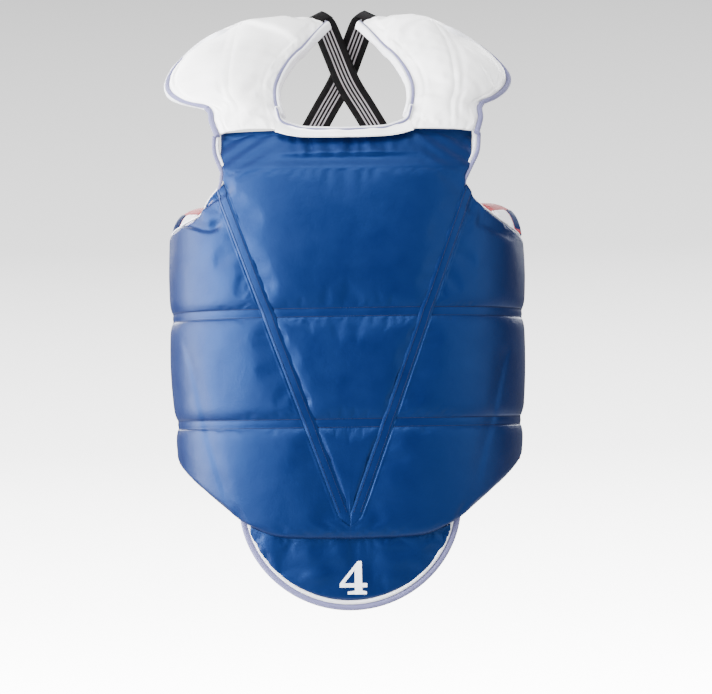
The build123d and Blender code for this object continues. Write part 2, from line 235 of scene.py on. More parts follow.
def finer(grid):
    """The grid with a smooth in-between line after each row and each column."""
    for axis in (0, 1):
        g = np.moveaxis(grid, axis, 0)
        g = np.concatenate([[2 * g[0] - g[1]], g, [2 * g[-1] - g[-2]]])
        between = (9 * (g[1:-2] + g[2:-1]) - g[:-3] - g[3:]) / 16
        out = np.empty((2 * len(g) - 5,) + g.shape[1:])
        out[0::2] = g[1:-1]
        out[1::2] = between
        grid = np.moveaxis(out, 0, axis)
    return grid


def pillow(name, front, back, mask=None, flip=False):
    """Closed piece between two grids; their borders join where they meet, or get a wall."""
    rows, cols = front.shape[:2]
    quads = cells(rows, cols)
    mask = np.ones(quads.shape[:2], bool) if mask is None else mask
    keep = quads[mask]
    size = rows * cols
    faces = [*keep.tolist(), *(keep[:, ::-1] + size).tolist()]
    edges = {}
    for a, b, c, d in keep.tolist():
        for edge in ((a, b), (b, c), (c, d), (d, a)):
            if edge[::-1] in edges:
                del edges[edge[::-1]]
            else:
                edges[edge] = True
    walls = [(b, a, a + size, b + size) for a, b in edges]
    faces += walls
    if flip:
        faces = [f[::-1] for f in faces]
    obj = new_piece(name, np.concatenate([front.reshape(-1, 3), back.reshape(-1, 3)]), faces)
    mesh = bmesh.new()
    mesh.from_mesh(obj.data)
    mesh.faces.ensure_lookup_table()
    for f in mesh.faces[len(faces) - len(walls):]:
        for e in f.edges:
            e.smooth = False
    bmesh.ops.remove_doubles(mesh, verts=mesh.verts, dist=2e-6)
    bmesh.ops.dissolve_degenerate(mesh, edges=mesh.edges, dist=1e-6)
    bmesh.ops.delete(mesh, geom=[v for v in mesh.verts if not v.link_faces], context="VERTS")
    mesh.to_mesh(obj.data)
    mesh.free()
    return obj


def puffed(points, pinned, pressure, slack, cap):
    """The grid after its cloth is blown up between pinned seams; no point moves further than cap."""
    rows, cols = points.shape[:2]
    obj = new_piece("cloth_trial", points.reshape(-1, 3), cells(rows, cols).reshape(-1, 4))
    group = obj.vertex_groups.new(name="seams")
    group.add(np.flatnonzero(pinned.ravel()).tolist(), 1.0, "REPLACE")
    cloth = obj.modifiers.new("Cloth", "CLOTH")
    settings = cloth.settings
    settings.quality = 4
    settings.mass = 0.3
    settings.bending_stiffness = 1.5
    settings.vertex_group_mass = "seams"
    settings.use_pressure = True
    settings.uniform_pressure_force = pressure
    settings.shrink_min = -slack
    settings.effector_weights.gravity = 0
    cloth.collision_settings.use_collision = False
    scene = bpy.context.scene
    for number in range(1, 21):
        scene.frame_set(number)
    shape = obj.evaluated_get(bpy.context.evaluated_depsgraph_get()).to_mesh()
    moved = np.empty(rows * cols * 3)
    shape.vertices.foreach_get("co", moved)
    scene.frame_set(1)
    bpy.data.objects.remove(obj)
    move = moved.reshape(points.shape) - points
    length = np.linalg.norm(move, axis=-1, keepdims=True)
    return points + move * (cap * np.tanh(length / cap) / np.maximum(length, 1e-9))


def frames_along(path, normals):
    """Unit tangent, across and outward vectors at each point of a path."""
    tangent = unit(np.gradient(path, axis=0))
    across = unit(np.cross(tangent, normals))
    return tangent, across, unit(np.cross(across, tangent))


def sweep(name, path, normals, section, width_share=None):
    """Closed solid with a (across, outward) section along a path; UV is share across, metres along."""
    path = np.asarray(path, float)
    _, across, outward = frames_along(path, normals)
    section = np.asarray(section, float)
    n, k = len(path), len(section)
    share = np.ones(n) if width_share is None else width_share
    rings = (path[:, None] + across[:, None] * (section[None, :, 0:1] * share[:, None, None])
             + outward[:, None] * section[None, :, 1:2])
    faces = []
    for i in range(n - 1):
        for j in range(k):
            a, b = i * k + j, i * k + (j + 1) % k
            faces.append((a, a + k, b + k, b))
    faces.append(tuple(range(k)))
    faces.append(tuple(range((n - 1) * k, n * k))[::-1])
    obj = new_piece(name, rings.reshape(-1, 3), faces)
    run = np.concatenate([[0], np.cumsum(np.linalg.norm(np.diff(path, axis=0), axis=1))])
    span = max(section[:, 0].max() - section[:, 0].min(), 1e-9)
    layer = obj.data.uv_layers.new(name="UVMap")
    point = np.array([loop.vertex_index for loop in obj.data.loops])
    uv = np.stack([(section[point % k, 0] - section[:, 0].min()) / span, run[point // k]], 1)
    layer.data.foreach_set("uv", uv.ravel())
    ends = obj.data.polygons[-2:]
    for face in ends:
        face.use_smooth = False
    return recalculated(obj)


def recalculated(obj):
    mesh = bmesh.new()
    mesh.from_mesh(obj.data)
    bmesh.ops.recalc_face_normals(mesh, faces=mesh.faces)
    mesh.to_mesh(obj.data)
    mesh.free()
    return obj


def oval(half_across, half_out, count=12):
    turn = np.arange(count) * 2 * math.pi / count
    return np.stack([half_across * np.cos(turn), half_out * np.sin(turn)], 1)


def strap_section(width, thick, bevel=0.0004):
    """Flat webbing with softly rounded selvedges; the inner face lies on the path."""
    h = width / 2
    inner = [(x, 0) for x in np.linspace(-h + bevel, h - bevel, 13)]
    outer = [(x, thick) for x in np.linspace(h - bevel, -h + bevel, 13)]
    return [*inner, (h, thick * 0.3), (h, thick * 0.7), *outer, (-h, thick * 0.7), (-h, thick * 0.3)]


def mirrored(points, sign):
    """The +X side's points, or their mirror image for the left."""
    return points * np.array([sign, 1, 1])


# ---- materials --------------------------------------------------------------
class Shader:
    """A principled material and short ways to add nodes to it."""

    def __init__(self, name, specular=0.5, sheen=0.0, coat=0.0, tint=(1.0, 1.0, 1.0)):
        self.mat = bpy.data.materials.new(name)
        self.mat.use_nodes = True
        self.nodes = self.mat.node_tree.nodes
        self.links = self.mat.node_tree.links
        self.bsdf = self.nodes["Principled BSDF"]
        self.bsdf.inputs["Specular IOR Level"].default_value = specular
        self.bsdf.inputs["Specular Tint"].default_value = (*tint, 1)
        self.bsdf.inputs["Sheen Weight"].default_value = sheen
        self.bsdf.inputs["Sheen Roughness"].default_value = 0.45
        self.bsdf.inputs["Coat Weight"].default_value = coat
        self.bsdf.inputs["Coat Roughness"].default_value = 0.25
        coords = self.nodes.new("ShaderNodeTexCoord")
        self.place = coords.outputs["Object"]
        self.uv = coords.outputs["UV"]

    def wire(self, socket, value):
        if isinstance(value, bpy.types.NodeSocket):
            self.links.new(value, socket)
        elif isinstance(value, tuple):
            socket.default_value = (*value, 1) if len(value) == 3 and socket.type == "RGBA" else value
        else:
            socket.default_value = value

    def noise(self, scale, detail=3.0, where=None):
        node = self.nodes.new("ShaderNodeTexNoise")
        self.wire(node.inputs["Vector"], where or self.place)
        self.wire(node.inputs["Scale"], float(scale))
        self.wire(node.inputs["Detail"], detail)
        return node.outputs["Fac"]

    def cracks(self, scale):
        """Distance to the edges of pebble cells, as in leather grain."""
        node = self.nodes.new("ShaderNodeTexVoronoi")
        node.feature = "SMOOTH_F1"
        self.wire(node.inputs["Vector"], self.place)
        self.wire(node.inputs["Scale"], float(scale))
        return node.outputs["Distance"]

    def maths(self, kind, a, b=0.5, c=0.5):
        node = self.nodes.new("ShaderNodeMath")
        node.operation = kind
        for socket, value in zip(node.inputs, (a, b, c)):
            self.wire(socket, value)
        return node.outputs[0]

    def ramp(self, value, low, high, out_low=0.0, out_high=1.0):
        node = self.nodes.new("ShaderNodeMapRange")
        for name, v in zip(("Value", "From Min", "From Max", "To Min", "To Max"),
                           (value, low, high, out_low, out_high)):
            self.wire(node.inputs[name], v)
        return node.outputs["Result"]

    def mix(self, share, a, b):
        node = self.nodes.new("ShaderNodeMix")
        node.data_type = "RGBA"
        for index, value in zip((0, 6, 7), (share, a, b)):
            self.wire(node.inputs[index], value)
        return node.outputs[2]

    def worn_edge(self):
        """Near 1 on outward edges and folds, broken up by noise."""
        geometry = self.nodes.new("ShaderNodeNewGeometry")
        return self.maths("MULTIPLY", self.ramp(geometry.outputs["Pointiness"], 0.52, 0.60), self.noise(120))

    def waves(self, scale_u, scale_v, where=None):
        """Height of a plain weave from two crossed sine waves over U and V."""
        parts = self.nodes.new("ShaderNodeSeparateXYZ")
        self.wire(parts.inputs[0], where or self.uv)
        u = self.maths("SINE", self.maths("MULTIPLY", parts.outputs[0], scale_u * 2 * math.pi))
        v = self.maths("SINE", self.maths("MULTIPLY", parts.outputs[1], scale_v * 2 * math.pi))
        return self.maths("MULTIPLY_ADD", self.maths("MULTIPLY", u, v), 0.5, 0.5)

    def bump(self, height, distance, under=None):
        node = self.nodes.new("ShaderNodeBump")
        self.wire(node.inputs["Height"], height)
        node.inputs["Distance"].default_value = distance
        node.inputs["Strength"].default_value = 1.0
        if under is not None:
            self.wire(node.inputs["Normal"], under)
        return node.outputs["Normal"]

    def finish(self, colour, rough, normal):
        self.wire(self.bsdf.inputs["Base Color"], colour)
        self.wire(self.bsdf.inputs["Roughness"], rough)
        self.wire(self.bsdf.inputs["Normal"], normal)
        return self.mat


def shade(colour, factor):
    return tuple(min(c * factor, 1.0) for c in colour)


def vinyl(name, colour, rough, worn, coat=0.0, specular=0.5, tint=(1.0, 1.0, 1.0)):
    """Coated fabric: pebble grain, slow buckling, colour drift and paler worn edges."""
    s = Shader(name, specular=specular, coat=coat, tint=tint)
    tone = s.mix(s.noise(9, 4), shade(colour, 0.90), shade(colour, 1.12))
    tone = s.mix(s.maths("MULTIPLY", s.worn_edge(), worn), tone, tuple(1.5 * c + 0.012 for c in colour))
    grain = s.bump(s.cracks(1500), 0.00005)
    grain = s.bump(s.noise(420, 3), 0.00010, grain)
    grain = s.bump(s.noise(48, 4), 0.00055, grain)
    return s.finish(tone, s.ramp(s.noise(35, 5), 0.3, 0.7, rough - 0.05, rough + 0.07), grain)


def tape(name, colour, rough=0.75, sheen=0.25):
    """Woven binding tape, from crossed ribs on its UV."""
    s = Shader(name, specular=0.3, sheen=sheen)
    weave = s.waves(14, 900)
    tone = s.mix(s.ramp(weave, 0.1, 0.9), shade(colour, 0.78), shade(colour, 1.08))
    tone = s.mix(s.noise(60, 4), tone, shade(colour, 0.9))
    normal = s.bump(weave, 0.00018)
    return s.finish(tone, s.ramp(s.noise(150, 3), 0.3, 0.7, rough - 0.06, rough + 0.08), normal)


def webbing(name, base, stripe, stripes):
    """Elastic webbing: ribs along and across, and pale warp lines between dark selvedges."""
    s = Shader(name, specular=0.12)
    parts = s.nodes.new("ShaderNodeSeparateXYZ")
    s.wire(parts.inputs[0], s.uv)
    across, along = parts.outputs[0], parts.outputs[1]
    start, end = 0.22, 0.78
    inside = s.maths("MULTIPLY", s.ramp(across, start - 0.01, start), s.ramp(across, end + 0.01, end))
    turns = s.maths("MULTIPLY", s.maths("SUBTRACT", across, start), stripes * 2 * math.pi / (end - start))
    line = s.ramp(s.maths("COSINE", s.maths("ADD", turns, math.pi)), 0.05, 0.45)
    share = s.maths("MULTIPLY", line, inside)
    rib = s.maths("SINE", s.maths("MULTIPLY", along, 2 * math.pi * 620))
    cord = s.maths("SINE", s.maths("MULTIPLY", across, 2 * math.pi * 26))
    height = s.maths("MULTIPLY_ADD", s.maths("MULTIPLY", rib, cord), 0.5, 0.5)
    share = s.maths("MULTIPLY", share, s.ramp(height, 0.0, 0.6, 0.55, 1.0))
    tone = s.mix(share, base, stripe)
    tone = s.mix(s.maths("MULTIPLY", s.noise(70, 4), 0.35), tone, shade(base, 2.2))
    return s.finish(tone, s.ramp(s.noise(90, 3), 0.3, 0.7, 0.62, 0.8), s.bump(height, 0.00022))


def pile(name, colour):
    """Brushed loop pile or hook backing: fine matted fuzz."""
    s = Shader(name, specular=0.2, sheen=0.6)
    fuzz = s.noise(1300, 6)
    tone = s.mix(s.ramp(fuzz, 0.35, 0.65), shade(colour, 0.72), shade(colour, 1.06))
    tone = s.mix(s.noise(40, 4), tone, shade(colour, 0.88))
    normal = s.bump(fuzz, 0.0005)
    return s.finish(tone, 0.95, s.bump(s.noise(160, 4), 0.0006, normal))


def thread(name, colour):
    """Twisted sewing thread."""
    s = Shader(name, specular=0.2)
    twist = s.nodes.new("ShaderNodeTexWave")
    twist.bands_direction = "DIAGONAL"
    s.wire(twist.inputs["Vector"], s.place)
    twist.inputs["Scale"].default_value = 900
    tone = s.mix(twist.outputs["Fac"], shade(colour, 0.8), shade(colour, 1.1))
    return s.finish(tone, 0.6, s.bump(twist.outputs["Fac"], 0.0001))


BLUE = (0.0008, 0.0044, 0.034)
RED = (0.24, 0.008, 0.010)
WHITE = (0.90, 0.90, 0.915)
# Lilac of the cords beside the white bindings: partly the piping's own colour, partly painted shade for the
# groove beside each binding and for its shaded, rolled-under side.
PIPING_AND_SHADE_LILAC = (0.135, 0.135, 0.275)
M = {
    "blue": vinyl("blue_vinyl", BLUE, 0.43, 0.30, specular=0.54, tint=(0.13, 0.35, 1.0)),
    "red": vinyl("red_vinyl", RED, 0.43, 0.30, tint=(1.0, 0.35, 0.35)),
    "white": vinyl("white_vinyl", WHITE, 0.45, 0.10, coat=0.15),
    "lilac": tape("lilac_cord_painted_shade", PIPING_AND_SHADE_LILAC),
    "white_tape": tape("white_tape", (0.82, 0.83, 0.88)),
    "red_tape": tape("red_tape", (0.30, 0.02, 0.03)),
    "elastic": webbing("striped_elastic", (0.0022, 0.0022, 0.0026), (0.42, 0.41, 0.44), 4),
    "loop": pile("loop_pile", (0.80, 0.78, 0.80)),
    "tab": tape("tab_webbing", (0.003, 0.003, 0.004), 0.8, sheen=0.02),
    "blue_thread": thread("blue_thread", (0.0012, 0.006, 0.040)),
    "white_thread": thread("white_thread", (0.75, 0.75, 0.80)),
    "red_thread": thread("red_thread", (0.14, 0.008, 0.010)),
    "black_thread": thread("black_thread", (0.012, 0.012, 0.014)),
    "print": vinyl("white_print", (0.78, 0.80, 0.86), 0.5, 0.0),
}


def done(piece, look):
    """Gives a finished piece its material."""
    piece.data.materials.clear()
    piece.data.materials.append(M[look])
    return piece


# ---- soft pieces: their placement is baked into their meshes ----------------
def bend_side(piece):
    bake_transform(piece)


def bend_shoulder(piece):
    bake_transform(piece)


def bend_cap(piece):
    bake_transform(piece)


def bend_flap(piece):
    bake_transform(piece)


def bend_strap(piece):
    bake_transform(piece)


def bend_tab(piece):
    """The tab is sewn to the strap's end."""
    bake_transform(piece)


# ---- camera, light and stage --------------------------------------------------
def camera():
    data = bpy.data.cameras.new("camera")
    data.sensor_width = 36
    data.lens = 115.6
    obj = bpy.data.objects.new("camera", data)
    bpy.context.scene.collection.objects.link(obj)
    tilt_up, lean = math.radians(1.70), math.radians(0.9)
    turn = Matrix.Rotation(math.pi / 2 + tilt_up, 4, "X") @ Matrix.Rotation(-lean, 4, "Z")
    obj.matrix_world = Matrix.Translation((0.009, -2.6, 0.142)) @ turn
    bpy.context.scene.camera = obj


LIGHT_AIM = Vector((0, 0, 0.25))


def soft_light(name, place, size, power):
    """White area light turned to the middle of the protector."""
    data = bpy.data.lights.new(name, "AREA")
    data.shape = "RECTANGLE"
    data.size, data.size_y = size
    data.energy = power
    obj = bpy.data.objects.new(name, data)
    bpy.context.scene.collection.objects.link(obj)
    obj.location = place
    obj.rotation_euler = (LIGHT_AIM - Vector(place)).to_track_quat("-Z", "Y").to_euler()


def lights():
    soft_light("key_left", (-2.45, -0.45, 0.55), (2.5, 2.4), 360)
    soft_light("front_left", (-2.00, -1.75, 0.60), (1.9, 2.2), 170)
    soft_light("top_front", (-0.60, -1.8, 2.30), (2.0, 1.4), 110)
    soft_light("fill_right", (2.10, -1.50, 0.60), (2.2, 2.2), 50)
    soft_light("back_left", (-1.2, 2.1, 1.4), (1.4, 1.4), 90)
    soft_light("back_right", (1.2, 2.1, 1.4), (1.4, 1.4), 70)


def world_ramp(nodes, links, height, stops):
    """Grey level by the height of the view direction."""
    low, high = stops[0][0], stops[-1][0]
    share = nodes.new("ShaderNodeMapRange")
    links.new(height, share.inputs["Value"])
    share.inputs["From Min"].default_value = low
    share.inputs["From Max"].default_value = high
    ramp = nodes.new("ShaderNodeValToRGB")
    links.new(share.outputs["Result"], ramp.inputs["Fac"])
    elements = ramp.color_ramp.elements
    brightest = max(level for _, level in stops)
    for n, (at, level) in enumerate(stops):
        place = (at - low) / (high - low)
        element = elements[0] if n == 0 else elements[-1] if n == len(stops) - 1 else elements.new(place)
        element.position = place
        element.color = (level / brightest,) * 3 + (1,)
    surround = nodes.new("ShaderNodeBackground")
    links.new(ramp.outputs["Color"], surround.inputs["Color"])
    surround.inputs["Strength"].default_value = brightest
    return surround.outputs[0]


def world():
    """Pale studio surround: grey above, nearly white below; it lights mostly from below and above."""
    surround = bpy.data.worlds.new("studio")
    bpy.context.scene.world = surround
    surround.use_nodes = True
    nodes, links = surround.node_tree.nodes, surround.node_tree.links
    nodes.clear()
    coords = nodes.new("ShaderNodeTexCoord")
    parts = nodes.new("ShaderNodeSeparateXYZ")
    links.new(coords.outputs["Generated"], parts.inputs[0])
    height = parts.outputs[2]
    seen = world_ramp(nodes, links, height, SEEN)
    lit = world_ramp(nodes, links, height, LIT)
    path = nodes.new("ShaderNodeLightPath")
    choose = nodes.new("ShaderNodeMixShader")
    links.new(path.outputs["Is Camera Ray"], choose.inputs[0])
    links.new(lit, choose.inputs[1])
    links.new(seen, choose.inputs[2])
    out = nodes.new("ShaderNodeOutputWorld")
    links.new(choose.outputs[0], out.inputs["Surface"])


# (height of the direction, level) of the surround as seen and as it lights the object.
SEEN = [(-0.130, 14.0), (-0.081, 9.5), (-0.015, 4.9), (0.072, 2.15), (0.190, 1.10)]
LIT = [(-1.0, 2.6), (-0.45, 2.0), (-0.20, 0.25), (0.45, 0.22), (0.75, 1.3), (1.0, 1.3)]


# ---- stitching ------------------------------------------------------------------
def stitches(name, path, normals, pitch=0.0034, length=0.0026, radius=0.00032):
    """A row of separate thread stitches lying along a path, as one piece."""
    path = np.asarray(path, float)
    both = even(np.concatenate([path, np.broadcast_to(normals, path.shape)], 1), pitch)
    place, normal = both[:, :3], unit(both[:, 3:])
    tangent, across, outward = frames_along(place, normal)
    ring = np.array([(math.cos(a), math.sin(a)) for a in np.arange(6) * math.pi / 3])
    stops = [(-0.5, 0.35), (-0.36, 1.0), (0.0, 1.15), (0.36, 1.0), (0.5, 0.35)]
    verts = []
    for along, fat in stops:
        sink = -0.5 * radius if abs(along) == 0.5 else 0.35 * radius
        centre = place + tangent * (along * length) + outward * sink
        for c, s in ring:
            verts.append(centre + across * (c * radius * fat) + outward * (s * radius * fat))
    verts = np.stack(verts, 1)
    count = verts.shape[1]
    faces = []
    for n in range(len(place)):
        first = n * count
        for k in range(len(stops) - 1):
            for j in range(6):
                a, b = first + k * 6 + j, first + k * 6 + (j + 1) % 6
                faces.append((a, b, b + 6, a + 6))
        faces.append(tuple(first + j for j in range(6))[::-1])
        faces.append(tuple(first + count - 6 + j for j in range(6)))
    return recalculated(new_piece(name, verts.reshape(-1, 3), faces))


def joined(pieces, name):
    """Several meshes as one piece."""
    mesh = bmesh.new()
    for piece in pieces:
        mesh.from_mesh(piece.data)
        bpy.data.objects.remove(piece)
    data = bpy.data.meshes.new(name)
    mesh.to_mesh(data)
    mesh.free()
    data.shade_smooth()
    obj = bpy.data.objects.new(name, data)
    bpy.context.scene.collection.objects.link(obj)
    return obj


# ---- the trunk pads ---------------------------------------------------------------
VALLEY_HALF = 0.0045            # half of the strip between a channel's two seams
CHANNEL_DEPTH, CHANNEL_SHOULDER = 0.0024, 0.015
CROWN, CROWN_RUN = 0.0016, 0.026
V_DIP = 0.0006                  # how far the covers come down beside the V's bands
SEWN_SHARE = 0.30               # how far the reverse covers sink where they meet along the V

SIDE_CREASES = {
    "left": [([(183, 238), (169, 185), (159, 141), (151, 107), (141, 73), (129, 31)], 1.3, 3.0),
             ([(192, 360), (179, 355), (166, 350.5), (155, 346.5), (144, 347), (131, 357)], 3.4, 2.6),
             ([(166, 367), (150, 375), (137, 382), (118, 391)], 3.2, 2.2)],
    "right": [([(178, 216), (170, 191), (156, 131), (147, 102), (135, 50)], 1.1, 3.0),
              ([(190, 334), (168, 341), (152, 348), (140, 351)], 1.6, 5.0),
              ([(152, 380), (139, 371), (132, 362)], 1.2, 3.5)],
}


# Edge of the blue cover at each armhole, in millimetres out and up; the two hang a little differently.
ARMHOLE_SEEN = {
    "left": [(202, 345), (196, 348), (184, 352.5), (179, 355.5), (164.5, 360.5), (156, 366), (152, 374),
             (146.5, 382), (136.3, 393), (132.6, 400), (131.4, 407.5), (134, 415), (140, 431), (140.5, 446)],
    "right": [(202, 335), (199, 338), (192, 342), (175, 352), (153, 365), (145, 371), (138.3, 377.5),
              (131.8, 388), (129.4, 399), (136, 414), (143, 429), (145, 446)]}


def blue_limit(z, side):
    """Distance from the middle of the blue cover's edge at the armhole."""
    line = catmull(np.array(ARMHOLE_SEEN[side], float), 4) * MM
    return np.interp(z, line[:, 1], line[:, 0]) + 0.0035 * smooth_step(z, 0.352, 0.372)


def eased(count):
    """Shares from 0 to 1 that crowd a little towards both ends."""
    t = np.linspace(0, 1, count)
    return t - 0.6 * np.sin(2 * math.pi * t) / (2 * math.pi)


def banded(bottom, top, counts):
    """Heights of a pad's rows, with rows on and beside each level channel; a channel row is 0."""
    low, high = CHANNELS
    half = VALLEY_HALF
    blank = np.zeros(np.shape(bottom))
    edges = [(bottom, low - half), (low + half, high - half), (high + half, top)]
    rows = []
    for number, ((a, b), count) in enumerate(zip(edges, counts)):
        rows += [blank + a + (b - a) * share for share in eased(count)]
        if number < 2:
            rows.append(blank + CHANNELS[number])
    return np.stack(rows)


def side_angles(s, z):
    inner = front_angle(v_outer(z), z)
    front = inner + (CREASE_ANGLE - inner) * np.minimum(s, 1)
    return np.where(s <= 1, front, CREASE_ANGLE + (BACK_ANGLE - CREASE_ANGLE) * (s - 1))


def side_limits(s, side):
    """Lowest and highest height of each column of a side pad."""
    low = np.full(s.shape, 0.09)
    for _ in range(40):
        low = np.interp(wall(side_angles(s, low), low)[:, 0], LOWER_X, LOWER_Z)
    under, over = np.full(s.shape, 0.30), np.full(s.shape, 0.449)
    for _ in range(40):
        z = (under + over) / 2
        outside = wall(side_angles(s, z), z, 0.0025)[:, 0] > blue_limit(z, side) - 1e-6
        under, over = np.where(outside, under, z), np.where(outside, z, over)
    top = under
    wing = s > 1
    angle = CREASE_ANGLE + (BACK_ANGLE - CREASE_ANGLE) * (s - 1)
    tuck = WING_BINDING * 0.75 * smooth_step(angle, 92.5, 97)
    settle = smooth_step(angle, 92.5, 101)
    crease_low, crease_top = low[s <= 1][-1], top[s <= 1][-1]
    wing_low = np.interp(angle, WING_LOW_ANGLE, WING_LOW_Z) + tuck
    wing_top = np.interp(angle, WING_TOP_ANGLE, WING_TOP_Z) - tuck
    low = np.where(wing, crease_low + (wing_low - crease_low) * settle, low)
    settle = smooth_step(angle, 92.5, 95)
    return low, np.where(wing, crease_top + (wing_top - crease_top) * settle, top)


def border_runs(base):
    """Distances over the surface from the left, right, bottom and top borders of a grid."""
    across = np.linalg.norm(np.diff(base, axis=1), axis=-1)
    up = np.linalg.norm(np.diff(base, axis=0), axis=-1)
    zero_col, zero_row = np.zeros((len(base), 1)), np.zeros((1, base.shape[1]))
    left = np.concatenate([zero_col, np.cumsum(across, 1)], 1)
    bottom = np.concatenate([zero_row, np.cumsum(up, 0)], 0)
    return left, left[:, -1:] - left, bottom, bottom[-1:] - bottom


def pillow_depth(z, edges, fall, extra=0.0, sewn=()):
    """Depth of a quilted cover: edges rolled down, level channels, and a low crown between them."""
    roll = rolled(edges, fall) if edges else 0 * z
    if sewn:
        roll = np.maximum(roll, rolled(sewn, SEWN_SHARE * fall))
        edges = [*edges, *sewn]
    near = min_of([d for d, _ in edges] + [np.abs(z - c) for c in CHANNELS])
    dip = CROWN * np.exp(-near / CROWN_RUN) + extra
    for c in CHANNELS:
        dip = dip + valley(z - c, VALLEY_HALF, CHANNEL_SHOULDER, CHANNEL_DEPTH)
    return roll + (1 - roll / fall) * dip


def min_of(arrays):
    least = arrays[0]
    for a in arrays[1:]:
        least = np.minimum(least, a)
    return least


def side_grid(side):
    s = np.concatenate([np.linspace(0, 1, 50) ** 1.15, 1 + eased(37)[1:]])
    low, top = side_limits(s, side)
    z = banded(low, top, (20, 24, 36))
    return s, z, side_angles(s[None, :] + 0 * z, z)


def folded(grid, normal, creases, sign=1.0):
    """The grid with soft creases pressed into its front."""
    x, z = sign * grid[..., 0], grid[..., 2]
    dip = sum(crease(points, x, z, depth * MM, width * MM) for points, depth, width in creases)
    return grid - normal * (dip * smooth_step(-grid[..., 1], 0.0, 0.05))[..., None]


def side_pads(side):
    sign = SIDES[side]
    _, z, angle = side_grid(side)
    base = wall(angle, z)
    left, right, bottom, top = border_runs(base)
    left = left + 0.05 * (1 - smooth_step(z, 0.020, 0.036))
    extra = 0.0012 * np.exp(-((angle - CREASE_ANGLE) / 2.2) ** 2) + V_DIP * np.exp(-(left / 0.0045) ** 2)
    over = 0.0038 + 0.0042 * smooth_step(angle, 84, 96)
    edges = [(left, 0.0020), (right, 0.008), (bottom, 0.011), (top, over)]
    depth = pillow_depth(z, edges, SEAM_OUT, extra)
    cover = wall(angle, z, depth)
    rows = np.arange(len(z))[:, None]
    seams = np.abs(z - CHANNELS[0]) < VALLEY_HALF * 1.1
    seams |= np.abs(z - CHANNELS[1]) < VALLEY_HALF * 1.1
    seams |= (rows < 2) | (rows > len(z) - 3)
    seams[:, :2] = True
    seams[:, -2:] = True
    normal = wall_normal(angle, z)
    uneven = 1 - np.exp(-(min_of([left, right, bottom, top]) / 0.012) ** 2)
    swollen = puffed(cover, seams, 0.9, 0.004, 0.0016)
    swollen = swollen + normal * (0.00045 * uneven * ripple(base, 0.09, 3 + sign))[..., None]
    outer = mirrored(folded(finer(swollen), finer(normal), SIDE_CREASES[side]), sign)
    hidden = finer(mirrored(wall(angle, z, SEAM_OUT), sign))
    flip = sign < 0
    cover_piece = pillow(f"side_cover_{side}", outer, hidden, flip=flip)
    done(cover_piece, "blue")
    bend_side(cover_piece)
    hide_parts(f"chest_cover_{side}", f"wing_cover_{side}",
                *[f"{part}_{level}_{side}" for part in ("foam_side", "wing_foam")
                  for level in ("lower", "middle", "upper")])
    reverse_depth = pillow_depth(z, [(right, 0.008), (bottom, 0.009), (top, 0.008)], PAD - SEAM_IN,
                                 sewn=[(left, 0.006)])
    reverse = wall(angle, z, PAD - reverse_depth)
    reverse = reverse + normal * (0.0005 * uneven * ripple(base, 0.07, 11 + sign))[..., None]
    reverse, lining = [mirrored(g, sign) for g in (reverse, wall(angle, z, SEAM_IN))]
    reverse_piece = pillow(f"side_reverse_{side}", finer(reverse), finer(lining), flip=not flip)
    done(reverse_piece, "red")
    bend_side(reverse_piece)
    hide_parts(f"wing_reverse_cover_{side}")
    channel_stitches(side, "outer", outer, finer(mirrored(normal, sign)), (20, 24), "blue_thread")
    inner = finer(reverse)
    channel_stitches(side, "reverse", inner, -finer(mirrored(normal, sign)), (20, 24), "red_thread")


def channel_rows(counts):
    """Row numbers, in a grid made finer once, of the two sewn lines of each level channel."""
    first = counts[0] - 1
    second = counts[0] + 1 + counts[1] - 1
    return [2 * r for r in (first, first + 2, second, second + 2)]


def channel_stitches(side, face, grid, normals, counts, look):
    rows = []
    for n, row in enumerate(channel_rows(counts)):
        path = grid[row, 4:-4]
        rows.append(stitches(f"stitch_{n}", path, normals[row, 4:-4]))
    piece = joined(rows, f"channel_stitches_{face}_{side}")
    done(piece, look)
    if side == "centre":
        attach(piece, "chest")
    else:
        bend_side(piece)


GATHERS = 0.0026


def centre_grid(half_of, first=0.0308):
    tau = np.linspace(-1, 1, 61)
    t = np.sin(tau * 0.42 * math.pi) / math.sin(0.42 * math.pi)
    counts = (18, 22, 22)
    break_z = FOAM_EDGE - 0.014
    z = banded(np.array(first), np.array(break_z), counts)
    strip = break_z + (TOP_EDGE + 0.002 - break_z) * np.linspace(0, 1, 25)[1:]
    z = np.concatenate([z, strip])[:, None] + 0 * t[None, :]
    x = t[None, :] * np.where(t[None, :] < 0, half_of(z, "left"), half_of(z, "right"))
    return counts, x, z


def top_strip_depth(x, z):
    """The foam's upper edge, and the thin gathered strip between it and the neckband."""
    edge = FOAM_EDGE + 0.002
    middle = np.exp(-(x / 0.066) ** 4)
    above = np.clip((z - edge) / (TOP_EDGE - edge), 0, 1)
    ends = 0.0034 * smooth_step(z, edge - 0.014, edge + 0.002) + 0.0072 * above
    free = 0.0036 * smooth_step(z, edge - 0.014, edge - 0.001) + 0.45 * np.maximum(z - edge - 0.004, 0)
    free = free - 0.0022 * smooth_step(z, edge - 0.001, edge + 0.005)
    fold = np.sin(x * 2 * math.pi / 0.0150 + 2.2 * np.sin(x * 95) + (z - edge) * 60)
    fold = fold + 0.7 * np.sin(x * 2 * math.pi / 0.0093 + 1.0 + 1.7 * np.sin(x * 61) - (z - edge) * 90)
    share = smooth_step(z, edge - 0.003, edge + 0.010) * middle
    slanted = np.sin((np.abs(x) * 0.75 + (z - edge) * 1.0) * 2 * math.pi / 0.021 + 0.8)
    corner = smooth_step(np.abs(x), 0.072, 0.100) * smooth_step(z, edge - 0.022, edge + 0.004)
    return ends + (free - ends) * middle - GATHERS * 0.5 * share * fold - 0.0005 * corner * slanted


def centre_half(z, side):
    return np.minimum(v_inner(z), blue_limit(z, side))


